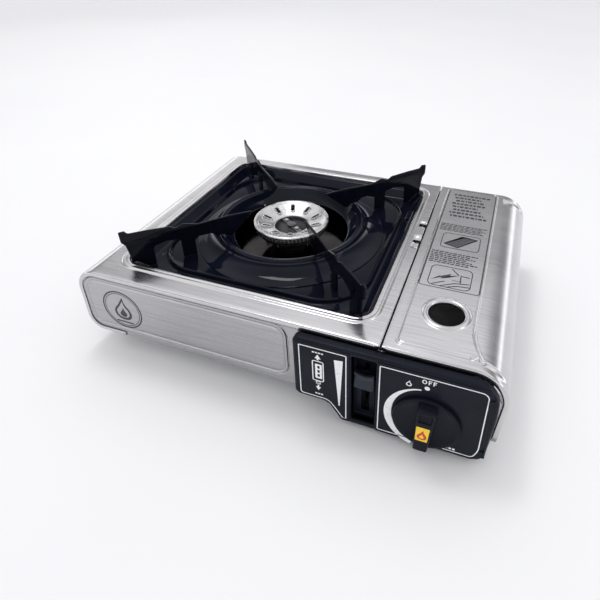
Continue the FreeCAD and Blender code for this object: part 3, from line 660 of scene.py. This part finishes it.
def lid():
    """The bay's cover: a raised field with a groove, ribs over the shoulder, and a window with a rolled edge."""
    lean, radius, bottom = math.radians(4.5), 25, 20
    reach = radius / math.tan((math.pi / 2 - lean) / 2)
    corner = RIGHT + reach * math.sin(lean) - radius * (1 - math.cos(lean))
    foot = corner - (TOP - bottom) * math.tan(lean)
    track = Track([(LID_EDGE, TOP - 3), (LID_EDGE, TOP, 0.8), (corner, TOP, radius), (foot, bottom)])
    turn, flat, shoulder, side = track.parts[1], track.parts[2], track.parts[3], track.parts[4]
    margin = Vector((18.6, 18.6))
    low, high = WINDOW - margin, WINDOW + margin
    unroll = flat[2].x - flat[0]
    us = spread((flat[2].x, 94.4, 1.6), (94.4, 98.4, 0.25), (98.4, low.x, 1.6), (low.x, high.x, 1.03),
                (high.x, 154, 0.33), (154, shoulder[0] + shoulder[1] + unroll, 1.1))
    ys = spread((FRONT + 1.5, -108.4, 1.5), (-108.4, -97, 0.3), (-97, low.y, 0.6), (low.y, high.y, 1.03),
                (high.y, 118, 8), (118, BACK - 1.5, 0.3))
    stations = sorted(set(spread((0, turn[0], 1), (turn[0], flat[0], 0.3), (side[0], side[0] + side[1], 6)))
                      | {round(u - unroll, 4) for u in us})

    def height(s, y):
        u = s + unroll
        if u < 90 or u > 200:
            return 0.0
        flare = 6.4 * max(0.0, (-76 - y) / 24) ** 2 * smooth((u - 128) / 14)
        d = inside_box(u - flare, y, *LID_FIELD)
        lift = LID_RISE * smooth(d / 0.8) - 0.55 * hump((d - 2.2) / 0.8)
        if u > 148:
            for rib, slant in ((-104.6, 0.1), (119.5, -0.1)):
                across_rib = hump((y - rib - slant * (150 - u)) / 2.4)
                lift += 0.95 * across_rib * smooth((u - 149) / 4) * (1 - smooth((u - 171) / 8))
        ring = math.hypot((u - 147.4) / 2.7, (y + 104.8) / 1.8)
        return lift + 0.75 * hump((ring - 0.8) / 0.5)

    def hole(s, y):
        return low.x < s + unroll < high.x and low.y < y < high.y

    shape = Shape()
    skin(shape, track, stations, ys, 1.5, height, hole,
         lambda s: 1 - TUCK * smooth((turn[0] + turn[1] + TUCK_REACH - s) / TUCK_REACH))
    ring = [(18.58, 0), (18.5, 0), (18.3, 0), (17.8, 0.04), (17.3, 0.25), (16.9, 0.6), (16.3, 0.95), (15.5, 1.15),
            (14.6, 1.15), (13.8, 0.9), (13.2, 0.45), (12.8, -0.2), (12.65, -1.0), (12.65, -2.2)]

    def loops_at(point):
        out = (point - WINDOW).normalized()
        return [(*(WINDOW + out * r), TOP + LID_RISE + z) for r, z in ring]

    patch(shape, low, high, us, ys, loops_at, TOP + LID_RISE, -unroll)
    shape.object("lid_pressed", "lid", "stainless_steel", STEEL, "lid", thickness=GAUGE)


# ---------------------------------------------------------------- front plate, drip tray and wind ring
def front_plate():
    """The front sheet with its raised field, and openings for the channel and the knob."""
    plate = FRONT + 1.1
    outline = [(LEFT + 1.1, TOP - 1.1, 18.9), (LEFT + 1.1, 19, 13), (52, 19, 4), (61, 5, 4), (RIGHT - 8, 5),
               (RIGHT - 2.5, 56, 14), (RIGHT - 24, TOP - 5.5, 12), (HOOD_EDGE - 2.2, TOP - 5.5),
               (HOOD_EDGE - 2.2, TOP - 1.1)]
    field = [(LEFT + 6, 75.8, 14), (LEFT + 6, 25.4, 9), (17, 25.4, 11), (17, 75.8, 11)]
    holes = [rounded(box_points(67.6, 7.2, 88.4, 73.8)), disc(KNOB.x, KNOB.y, 9.5), grown(field, 1.9)]
    sheet = flat_mesh("sheet", [rounded(outline, 10)] + holes, on_front(plate + GAUGE / 2), GAUGE)
    profile = [(1.9, 0), (1.5, -0.06), (1.2, -0.32), (0.9, -0.4), (0.6, -0.3), (0.35, 0.1), (0.1, 0.58), (-0.2, 0.83),
               (-0.7, 0.9), (-1.5, 0.88), (-2.0, 0.6), (-2.4, 0.32), (-2.9, 0.26), (-3.4, 0.42), (-3.8, 0.76),
               (-4.4, 0.9), (-7, 0.9)]
    rows = tiers(field, [(grow, plate - out) for grow, out in profile])
    shape = Shape().rows(rows).cap(rows[-1])
    mesh = joined("front_plate_pressed", [sheet, shape.mesh("raised")])
    finish_piece(mesh, mesh.name, "base", "stainless_steel", STEEL_SHADED_FACE, "front_plate", merge=0)


def drip_tray():
    """A pressed dish: rolled rim, sloping wall, floor with a raised rounded bead, and the hole under the ring."""
    levels = [(0.7, 11.3, 78.5), (0.6, 11.4, 78.8), (0.75, 11.3, 79.1), (1.2, 10.9, 79.25), (2.6, 9.9, 79.2),
              (3.4, 9.4, 78.9), (4.1, 9.2, 78.2), (9.0, 8.8, 72.9), (9.8, 8.7, 72.25), (10.7, 8.6, 72.0)]
    bead = [(11.9, 41.2, 72.0), (12.3, 40.9, 72.2), (12.8, 40.4, 73.4), (13.3, 39.9, 75.0), (13.9, 39.3, 75.9),
            (14.5, 38.7, 76.1), (15.1, 38.1, 75.7), (15.6, 37.6, 74.6), (16.1, 37.1, 73.0), (16.6, 36.6, 72.2),
            (17.1, 36.2, 72.0)]
    rows = [level_box(OPENING - Vector((inset, inset)), radius, z) for inset, radius, z in levels + bead]
    rows += [level_box(Vector((r, r)), r, z) for r, z in ((85.5, 72), (79, 72), (78.2, 71.7), (78.0, 70.6))]
    Shape().rows(rows).object("drip_tray_enamelled", "trivet", "black_enamel", ENAMEL, "drip_tray", thickness=GAUGE,
                              sharp=50)


def wind_ring():
    """The turned ring: a flat foot, an outer slope, a double rolled rim and an inner slope."""
    profile = [(86, 72.15), (86, 72.7), (85, 72.95), (81, 73.3), (77.5, 74.0), (74, 75.5), (71, 77.6), (69, 79.6),
               (67.8, 81.6), (67.3, 83.4), (67.0, 84.5), (66.4, 85.1), (65.6, 85.35), (64.8, 85.2), (64.2, 84.75),
               (63.7, 84.3), (63.1, 84.25), (62.5, 84.1), (61.9, 83.4), (60.6, 81.4), (57.0, 77.0), (54.4, 74.0),
               (53.6, 73.4), (53.0, 73.3), (52.7, 72.9)]
    Shape().turn(profile, BURNER, 144).object("wind_ring_enamelled", "trivet", "black_enamel", ENAMEL, "wind_ring",
                                                     thickness=GAUGE, sharp=50)


# ---------------------------------------------------------------- burner head and pan supports
SLOT_COUNT, SLOT_INNER, SLOT_OUTER, SLOT_HALF_WIDTH = 10, 21.4, 26.4, 1.45
PORT_COLUMNS, PORT_PITCH = 240, 4    # each pitch has two columns of open port and two of wall


def slot_outline(angle, steps=8):
    """The oval outline of one slot of the burner head."""
    out = Vector((math.cos(angle), math.sin(angle)))
    outline = []
    for radius, start in ((SLOT_OUTER, -90), (SLOT_INNER, 90)):
        for i in range(steps + 1):
            a = angle + math.radians(start + 180 * i / steps)
            outline.append(tuple(BURNER + out * radius + Vector((math.cos(a), math.sin(a))) * SLOT_HALF_WIDTH))
    return outline


def cut_slots(head, slots, level):
    cutter = flat_mesh("slots", slots, on_top(level - 5), 14)
    tool = bpy.data.objects.new("slot_tool", cutter)
    scene.collection.objects.link(tool)
    cut = head.modifiers.new("slots", "BOOLEAN")
    cut.object = tool
    cut.solver = "EXACT"
    mesh, old = settled_mesh(head), head.data
    head.modifiers.clear()
    head.data = mesh
    bpy.data.meshes.remove(old)
    bpy.data.objects.remove(tool)
    mesh.set_sharp_from_angle(angle=math.radians(40))


def slot_lips(slots, angles, dish):
    """A raised bead round each slot, on the dish's slope."""
    lips = Shape()
    for outline, angle in zip(slots, angles):
        centre = sum((Vector(p) for p in outline), Vector((0, 0))) / len(outline)
        along = Vector((math.cos(angle), math.sin(angle)))
        rows = []
        for i in range(8):
            a = 2 * math.pi * i / 8
            row = []
            for p in outline:
                out = Vector(p) - centre
                out = (out - along * out.dot(along) * 0.62).normalized()
                spot = Vector(p) + out * (0.5 + 0.65 * math.cos(a))
                row.append((spot.x, spot.y, dish((spot - BURNER).length) + 0.5 + 0.95 * math.sin(a)))
            rows.append(row)
        lips.rows(rows + [rows[0]])
    return lips


def flame_ports(level):
    """The skirt under the rim: two walls with a row of square ports through both."""
    profile = ((34.1, level - 2.5), (34.15, level - 2.9), (34.1, level - 5.3), (33.9, level - 5.9),
               (32.6, level - 6.6), (32.4, level - 8.4))
    skirt = [level_circle(BURNER, r, z, PORT_COLUMNS) for r, z in profile]
    inner = [level_circle(BURNER, r * 0.945, z, PORT_COLUMNS) for r, z in profile]
    ports = Shape()

    def keep(row, column):
        return not (row == 1 and column % PORT_PITCH in (0, 1))

    ports.rows(skirt, keep=keep)
    ports.rows(inner[::-1], keep=keep)
    ports.rows([skirt[-1], inner[-1]])
    outer_high, outer_low, inner_high, inner_low = skirt[1], skirt[2], inner[1], inner[2]
    for c in range(0, PORT_COLUMNS, PORT_PITCH):
        d = (c + 2) % PORT_COLUMNS
        ports.add([outer_low[c], outer_high[c], inner_high[c], inner_low[c]], [(0, 1, 2, 3)])
        ports.add([outer_low[d], outer_high[d], inner_high[d], inner_low[d]], [(3, 2, 1, 0)])
        ports.add([outer_high[c], outer_high[d], inner_high[d], inner_high[c]], [(0, 1, 2, 3)])
        ports.add([outer_low[c], outer_low[d], inner_low[d], inner_low[c]], [(3, 2, 1, 0)])
    return ports


def burner_head():
    """The dished head: oval slots with raised lips, a rolled rim and a skirt of flame ports."""
    level = burner_high.z
    dish_low = level - 6.6

    def dish(r):
        return dish_low + (r - 15.5) * 0.36

    profile = [(15.5, level - 9.3), (15.5, dish_low - 0.4), (15.9, dish_low + 0.05), (16.6, dish_low + 0.5)]
    profile += [(r, dish(r)) for r in (18, 21, 24, 27, 29.4)]
    profile += [(30.6, level - 0.95), (31.3, level - 0.4), (32.1, level - 0.05), (33.3, level), (34.3, level - 0.3),
                (34.75, level - 0.9), (34.8, level - 1.7), (34.5, level - 2.3), (34.1, level - 2.5),
                (32.8, level - 2.6), (31.6, level - 2.8), (30.6, level - 3.9), (16.5, level - 9.2)]
    paint = ("base", "burner_aluminium", ALUMINIUM)
    head = Shape().turn(profile + [profile[0]], BURNER,
                        128).object("burner_head_cast", *paint, "burner_head", sharp=40)
    angles = [math.radians(360 / SLOT_COUNT * k + 3) for k in range(SLOT_COUNT)]
    slots = [slot_outline(angle) for angle in angles]
    cut_slots(head, slots, level)
    slot_lips(slots, angles, dish).object("burner_slot_lips", *paint, sharp=60)
    flame_ports(level).object("burner_ports", *paint, sharp=30)


BLADE_OUTLINE = [(142.4, 110.3, 0.6), (147, 109.9, 0.6), (146.7, 100.5, 1), (143.8, 97, 2), (142.4, 88, 8),
                 (141.2, 79.5, 0.4), (138, 79.5, 1), (129.5, 72.4, 1), (123, 72.4, 0.4), (123, 90, 3), (112, 92.7, 3),
                 (100.4, 91, 3), (100.4, 72.4, 0.4), (88.7, 72.4, 0.4), (88.7, 87, 2), (85.3, 89.8, 2), (74, 89.8, 3),
                 (70, 85.8, 1), (61.5, 85.8, 1), (58.5, 83, 0.5), (56, 83, 0.5), (47, 91, 3), (36.5, 101.2, 0.5),
                 (36.5, 102.6, 0.5), (57, 103.4, 3), (84.8, 102, 4), (96.5, 105.4, 4), (103.3, 102.6, 3),
                 (107.2, 105.4, 3), (126, 106.8, 6), (140.2, 107.3, 3)]


def pan_supports():
    """Four blades that stand across the tray's corners."""
    for corner, angle in (("front_right", -45), ("back_right", 45), ("back_left", 135), ("front_left", -135)):
        place = standing(BURNER, math.radians(angle))
        blade = flat_mesh("blade", [rounded(BLADE_OUTLINE[::-1], 6)], place, 1.6, 0.45)
        finish_piece(blade, "pan_support_blade_" + corner, "trivet", "black_enamel", BLADE, "pan_support_" + corner,
                     sharp=50)


# ---------------------------------------------------------------- control panel, knob and lever
PANEL_OUTLINE = [(25.5, 76.8, 4.5), (25.5, 20.5, 4), (53, 20.5, 11), (61, 4.5, 9), (164, 4.5, 9), (167, 50, 40),
                 (166.5, 76.8, 17)]
CHANNEL = box_points(69.5, 9, 86.5, 72, 1.0)


def control_panel():
    """The moulded panel: a rounded frame, two raised face plates and the lever's channel between them."""
    base = flat_mesh("frame", [rounded(PANEL_OUTLINE, 10), rounded(CHANNEL, 3)],
                     on_front((PANEL_FRONT + FRONT) / 2 + 0.3), FRONT - PANEL_FRONT - 0.6, 1.9, 4)
    left = [(27.4, 74.6, 2.2), (27.4, 21.8, 3.4), (52.2, 21.8, 9), (58.4, 12, 9), (61.8, 6.2, 3), (68.2, 6.2, 1.0),
            (68.2, 74.6, 1.2)]
    right = [(87.8, 74.2, 1.6), (87.8, 5.6, 1.6), (158.6, 5.6, 6), (162.4, 20, 30), (162.6, 74.2, 6.5)]
    left_plate = flat_mesh("left", [rounded(left, 8)], on_front(PANEL_FRONT + 0.55), 1.1, 0.35, 3)
    right_plate = flat_mesh("right", [rounded(right, 8), disc(KNOB.x, KNOB.y, 8.5)], on_front(PANEL_FRONT + 0.55),
                            1.1, 0.35, 3)
    steps = ((0.0, PANEL_FRONT + 1.2), (0.0, CHANNEL_FLOOR - 0.8), (-0.5, CHANNEL_FLOOR - 0.3))
    well = Shape().rows(tiers(CHANNEL, steps, 3)).mesh("well")
    bottom = [rounded(box_points(70, 9.5, 86, 71.5, 0.8), 3), rounded(box_points(75, 13, 81, 51, 0.8), 3),
              rounded(box_points(70.5, 54, 85.5, 71, 0.8), 3)]
    floor_plate = flat_mesh("bottom", bottom, on_front(CHANNEL_FLOOR), 0.7, 0.15, 1)
    inside = box_points(70, 9.5, 86, 71.5)
    backing = flat_mesh("backing", [inside, box_points(76.2, 14, 79.8, 58)], on_front(CHANNEL_BACK), 0.6)
    depths = (CHANNEL_FLOOR + 0.2, CHANNEL_BACK)
    sides = Shape().rows([[(u, y, v) for u, v, _ in inside] for y in depths]).mesh("sides")
    mesh = joined("control_panel_moulded", [base, left_plate, right_plate, well, floor_plate, backing, sides])
    finish_piece(mesh, mesh.name, "base", "black_panel", PANEL, "control_panel", merge=0)


def knob():
    """The disc, and the tapered bar across it with a finger recess near its top."""
    back, face, cover_y = -121.65, -124.2, KNOB_TIP + 0.12
    profile = [(7, -113.2), (7, back), (22.6, back), (23.3, back - 0.3), (23.4, back - 1.2), (23.2, face + 0.3),
               (22.5, face), (20.6, face), (20.2, face + 0.15), (19.8, face + 0.35), (6, face + 0.35),
               (0.1, face + 0.35)]
    turned = Shape().rows([[(u, y, v) for u, v in disc(*KNOB, radius, 96)] for radius, y in profile])
    bar = [(-5.9, 19.2, 1.0), (-6.6, -20.2, 1.4), (3.3, -20.2, 1.4), (6.9, 19.2, 1.0)]
    bar = [(KNOB.x + u, KNOB.y + v, r) for u, v, r in bar]
    steps = ((0.35, face + 0.4), (0.1, face - 1.5), (0.0, -127.5), (-0.05, KNOB_TIP + 1.2), (-0.3, KNOB_TIP + 0.5),
             (-0.75, KNOB_TIP + 0.15), (-0.95, cover_y))
    turned.rows(tiers(bar, steps, 5))
    recess = [(KNOB.x - 4.2, KNOB.y + 16.6, 0.8), (KNOB.x - 4.4, KNOB.y + 8.4, 0.8),
              (KNOB.x + 4.3, KNOB.y + 8.4, 0.8), (KNOB.x + 5.2, KNOB.y + 16.6, 0.8)]
    cover = flat_mesh("cover", [grown(bar, -0.95, 5), grown(recess, 0, 4)], on_front(cover_y))
    rows = []
    for grow, depth in ((0.0, 0.0), (-0.15, 0.25), (-0.3, 1.0), (-0.45, 1.9), (-0.8, 2.1)):
        loop = grown(recess, grow, 4)
        rows.append([(u, cover_y + depth * (0.55 + 0.45 * (v - KNOB.y - 8.4) / 8.2), v) for u, v in loop])
    dent = Shape().rows(rows).cap(rows[-1])
    mesh = joined("knob_moulded", [turned.mesh("turned"), cover, dent.mesh("dent")])
    finish_piece(mesh, mesh.name, "knob", "black_panel", KNOB_BLACK, "knob", sharp=36)


def lever():
    """The thumb piece in the channel on its flat arm, which turns about a pin at (x, y, z)."""
    x, y, z = 78.0, -68.0, 34.0
    arm = [(y + 6, z - 6, 5), (y + 6, z + 18, 4), (y - 6, z + 18, 4), (y - 9, z + 8, 3),
           (PANEL_FRONT + 4.8, z + 16, 1), (PANEL_FRONT + 4.8, z + 8, 1), (y - 8, z - 6, 5)]
    arm = flat_mesh("arm", [rounded(arm, 5), disc(y, z, 2.05, 20)], on_side(x), 3, 0.4)
    side = rounded([(PANEL_FRONT + 1.5, z + 24.2, 1.1), (PANEL_FRONT + 3.4, z + 17, 5), (PANEL_FRONT + 1.9, z + 9, 2),
                    (PANEL_FRONT + 3.2, z + 6, 0.7), (PANEL_FRONT + 5.0, z + 6, 0.6),
                    (PANEL_FRONT + 6.2, z + 21.5, 0.6)], 6)
    rows = []
    for across_thumb, inset in ((-7.5, 1.1), (-7.42, 0.7), (-7.1, 0.3), (-6.6, 0.06), (-5, 0), (-3, 0), (-1, 0),
                                (1, 0), (3, 0), (5, 0), (6.6, 0.06), (7.1, 0.3), (7.42, 0.7), (7.5, 1.1)):
        loop = moved_in(side, inset) if inset else side
        bow = 2.6 * (1 - (across_thumb / 7.5) ** 2)
        rows.append([(x + across_thumb, v, w - bow * smooth((w - z - 12) / 12)) for v, w in loop])
    thumb = Shape().rows(rows).cap(rows[0]).cap(rows[-1], True).mesh("thumb")
    pin = flat_mesh("pin", [disc(y, z + 13, 1.5, 20)], on_side(x + 5), 10, 0.2, 1)
    mesh = joined("lock_lever_moulded", [arm, thumb, pin])
    finish_piece(mesh, mesh.name, "lever", "lever_black", LEVER_BLACK, "lock_lever", merge=0)


# ---------------------------------------------------------------- printing
def ink(name, outlines, place, body, slot, paint, thickness=0.06):
    """A thin layer of ink."""
    finish_piece(flat_mesh(name, outlines, place, thickness), name, body, slot, paint, merge=0)


def flame(u, v, size):
    """A generic flame as a closed outline, as high as size, standing on (u, v)."""
    side = [(0.0, 0.0), (0.2, 0.03), (0.33, 0.16), (0.36, 0.34), (0.3, 0.5), (0.2, 0.62), (0.13, 0.76), (0.1, 1.0)]
    other = [(-0.02, 0.82), (-0.14, 0.64), (-0.27, 0.5), (-0.35, 0.34), (-0.32, 0.16), (-0.18, 0.03)]
    return [(u + size * a, v + size * b) for a, b in side + other]


def panel_printing():
    """The lever's gauge with a generic cartridge and arrows, and the knob's dial."""
    place = on_front(PANEL_FRONT - 0.01)
    left = [(30.6, 72.4, 1.0), (30.6, 23.6, 2.6), (52.6, 23.6, 8), (58.6, 15.2, 8), (63.2, 8.2, 2.2),
            (66.2, 8.2, 0.6), (66.2, 72.4, 1.0)]
    outline = rounded(left, 8)
    frame_line = [outline, moved_in(outline, 0.75)]
    wedge = rounded([(57.1, 65.6, 0.2), (60.3, 20.6, 0.1), (61.1, 20.6, 0.1), (63.6, 66.6, 0.2)], 2)
    can = border(box_points(40.6, 40.4, 49.4, 60.4, 1.6), 0.8)
    marks = [rounded(box_points(42.9, 43.4, 48.0, 57.4, 0.6), 3)]
    marks += [rounded(box_points(44.6, low, 46.4, low + 2.6, 0.3), 2) for low in (45.0, 49.1, 53.2)]
    neck = border(box_points(43.2, 37.4, 46.8, 40.4, 0.5), 0.6)
    arrows = [[(45, 66.6), (42.7, 62.6), (44.3, 62.6), (44.3, 61.2), (45.7, 61.2), (45.7, 62.6), (47.3, 62.6)],
              [(45, 31.0), (43.0, 34.6), (44.4, 34.6), (44.4, 36.6), (45.6, 36.6), (45.6, 34.6), (47.0, 34.6)]]
    dashes = [rounded(box_points(41 + i * 2.2, 67.6, 42.6 + i * 2.2, 68.8, 0.2), 2) for i in range(4)]
    dashes += [rounded(box_points(42.4 + i * 2.2, 26.8, 44.0 + i * 2.2, 28.0, 0.2), 2) for i in range(3)]
    ink("panel_print_left", frame_line + [wedge] + can + marks + neck + arrows + dashes, place, "base", "black_panel",
        WHITE_INK)
    right = [(89.3, 72.0, 1.0), (89.3, 7.9, 1.2), (156.6, 7.9, 4.6), (159.9, 16, 20), (160.2, 72.0, 5.0)]
    outline = rounded(right, 8)
    angles = [math.radians(101 + 150 * i / 48) for i in range(49)]
    reach = [29.9] * 49 + [28.8 - 4.2 * smooth(i / 26) for i in range(48, -1, -1)]
    sweep = [(KNOB.x + r * math.cos(a), KNOB.y + r * math.sin(a)) for a, r in zip(angles + angles[::-1], reach)]
    letter_o = [[(119.4 + wide * u, 68.1 + high * v) for u, v in disc(0, 0, 1, 24)] for wide,
                high in ((1.6, 1.9), (0.9, 1.2))]
    bars = []
    for x in (122.0, 125.1):
        bars.append([(x, 66.2), (x + 0.7, 66.2), (x + 0.7, 67.7), (x + 1.9, 67.7), (x + 1.9, 68.4), (x + 0.7, 68.4),
                     (x + 0.7, 69.3), (x + 2.2, 69.3), (x + 2.2, 70.0), (x, 70.0)])
    spark = []
    for i in range(16):
        r = 1.7 if i % 2 == 0 else 0.7
        spark.append((135.2 + r * math.cos(math.pi * i / 8), 10.9 + r * math.sin(math.pi * i / 8)))
    lines = [rounded(box_points(138 + i * 2.5, 9.9, 139.7 + i * 2.5, 11.5, 0.2), 2) for i in range(3)]
    flame_icon = [flame(109.4, 60.4, 5.6), flame(109.4, 61.2, 3.4)]
    art = [outline, moved_in(outline, 0.75), sweep, disc(121.5, 62.6, 1.75, 32), *letter_o, spark, *bars, *lines,
           *flame_icon]
    ink("panel_print_right", art, place, "base", "black_panel", WHITE_INK)


def knob_label():
    """The coloured patch on the knob's bar, with a generic flame."""
    tip = KNOB_TIP + 0.1
    label = rounded([(KNOB.x - 5.2, KNOB.y + 4.6, 0.5), (KNOB.x - 5.5, KNOB.y - 8.9, 0.5),
                     (KNOB.x + 2.8, KNOB.y - 8.9, 0.5), (KNOB.x + 3.9, KNOB.y + 4.6, 0.5)], 3)
    ink("knob_label", [label], on_front(tip - 0.02), "knob", "black_panel", YELLOW_INK, 0.04)
    ink("knob_flame", [flame(KNOB.x - 1.1, KNOB.y - 7.4, 9.4), flame(KNOB.x - 1.2, KNOB.y - 6.2, 4.4)],
        on_front(tip - 0.06), "knob", "black_panel", RED_INK, 0.04)


def badge():
    """A ring round a generic flame, near the left end of the front."""
    centre = Vector((-132, 48.3))
    place = on_front(FRONT + 0.2 - 0.03)
    rings = [disc(*centre, radius, 96) for radius in (19.2, 17.9, 16.9, 16.3)]
    mark = [flame(centre.x, centre.y - 10.6, 24), flame(centre.x, centre.y - 8.2, 17.6),
            flame(centre.x + 0.3, centre.y - 7.4, 9.6)]
    feet = [ribbon([(centre.x - 8.4, centre.y - 13), (centre.x + 8.4, centre.y - 13)], 1.4)]
    ink("front_badge", rings + mark + feet, place, "base", "stainless_steel", DARK_INK, 0.05)


def lid_printing():
    """Generic printing on the lid: dashes in place of text, and two framed pictograms."""
    art = border(box_points(97, -40.8, 143.6, 126, 3), 0.7)

    def row(y, x, end, height, seed, gap):
        """A line of dashes of uneven length."""
        i = 0
        while x < end - 0.6:
            length = 1.3 + 2.6 * abs(math.sin(seed * 12.9898 + i * 4.1414))
            art.append(box_points(x, y, min(x + length, end), y + height))
            x += length + gap
            i += 1

    for k in range(8):
        row(113.1 - k * 6.1, 103 + (k % 3) * 1.5, 138 - (k * 5 % 7) * 1.6, 3.1, k + 1, 1.0)
    for k in range(5):
        row(54.2 - k * 2.6, 99.5, 140.5 - (k * 3 % 5), 1.3, k + 11, 0.7)
    for k in range(7):
        row(7.8 - k * 2.6, 99, 138 - (k * 3 % 5) * 2.2, 1.35, k + 21, 0.7)
    art += border(box_points(104, 15.8, 137, 40, 4), 0.75)
    art += border(box_points(103, -38.4, 136.2, -11.3, 5), 0.75)
    case = [(107, 22), (121, 37), (134, 35), (119, 18), (107, 22)]
    for start, end in zip(case, case[1:]):
        art.append(ribbon([start, end], 0.95))
    for shift in (0, 2.4, 4.8, 7.2):
        art.append(ribbon([(110.6 + shift, 21.4 - shift * 0.25), (123.2 + shift, 35.2 - shift * 0.15)], 0.4))
    bolt = [(105.4, -31.6), (113.2, -26.4), (112.4, -28.6), (120.6, -22.4), (119.2, -25.2), (126, -20.6),
            (118.8, -23.0), (119.8, -20.2), (110.8, -26.2), (112.0, -24.0)]
    art.append(bolt)
    for points in ([(119.6, -13.6), (125.6, -20.4)], [(127, -20.6), (134.2, -21.2)],
                   [(113.5, -37.6), (124, -31.5), (134.8, -29.6)], [(118.5, -37.9), (126, -34.4), (135.4, -33.4)],
                   [(127.4, -21.6), (128, -29.8)], [(107, -37), (116, -31)]):
        art.append(ribbon(points, 0.95))
    for i in range(6):
        art.append(ribbon([(121.4 + i * 1.1, -27.6), (122.0 + i * 1.1, -28.6)], 0.45))
    ink("lid_label", art, on_top(TOP + LID_RISE + 0.035), "lid", "stainless_steel", DARK_INK, 0.05)


hood()
lid()
front_plate()
drip_tray()
wind_ring()
burner_head()
pan_supports()
control_panel()
knob()
lever()
panel_printing()
knob_label()
badge()
lid_printing()

# ---------------------------------------------------------------- floor and light
floor_paint = Paint("floor", (0.93, 0.93, 0.93), 0.0, 0.6)
floor_paint.set("Base Color", floor_paint.colours(floor_paint.noise(3, 2), (0.3, (0.92, 0.92, 0.925)),
                                                  (0.7, (0.94, 0.94, 0.94))))
floor = bpy.data.meshes.new("floor")
floor.from_pydata([(-6, -6, -0.0002), (6, -6, -0.0002), (6, 6, -0.0002), (-6, 6, -0.0002)], [], [(0, 1, 2, 3)])
floor.materials.append(floor_paint.material)
floor = bpy.data.objects.new("floor", floor)
scene.collection.objects.link(floor)

world = bpy.data.worlds.new("studio")
world.use_nodes = True
sky = world.node_tree
background = sky.nodes["Background"]
direction = sky.nodes.new("ShaderNodeTexCoord")
height = sky.nodes.new("ShaderNodeSeparateXYZ")
ramp = sky.nodes.new("ShaderNodeValToRGB")
sky.links.new(direction.outputs["Generated"], height.inputs[0])
sky.links.new(height.outputs["Z"], ramp.inputs["Fac"])
tones = ((0.0, 0.7), (0.06, 1.0), (0.1, 2.1), (0.18, 2.1), (0.26, 0.5), (0.34, 0.26), (0.45, 0.34), (0.52, 0.44),
         (0.6, 0.68), (0.7, 1.15), (0.85, 1.0), (1.0, 0.8))
elements = ramp.color_ramp.elements
for place, _ in tones[1:-1]:
    elements.new(place)
for element, (place, tone) in zip(elements, tones):
    element.position = place
    element.color = (tone, tone, tone * 1.03, 1)
sky.links.new(ramp.outputs["Color"], background.inputs["Color"])
background.inputs["Strength"].default_value = 1.0
scene.world = world


def softbox(name, place, target, width, depth, power):
    data = bpy.data.lights.new(name, "AREA")
    data.shape = "RECTANGLE"
    data.size, data.size_y = width, depth
    data.energy = power
    lamp = bpy.data.objects.new(name, data)
    aim = (Vector(target) - Vector(place)).to_track_quat("-Z", "Y")
    lamp.matrix_world = Matrix.Translation(place) @ aim.to_matrix().to_4x4()
    scene.collection.objects.link(lamp)


softbox("key", (-0.35, 0.25, 1.5), (0, 0, 0), 0.5, 0.3, 4.5)
softbox("left_panel", (-1.1, 1.25, 0.72), (-0.1, 0, 0.05), 0.9, 0.45, 0.9)
softbox("right_strip", (1.3, 0.1, 0.75), (0.1, 0, 0.05), 0.25, 1.2, 1.4)
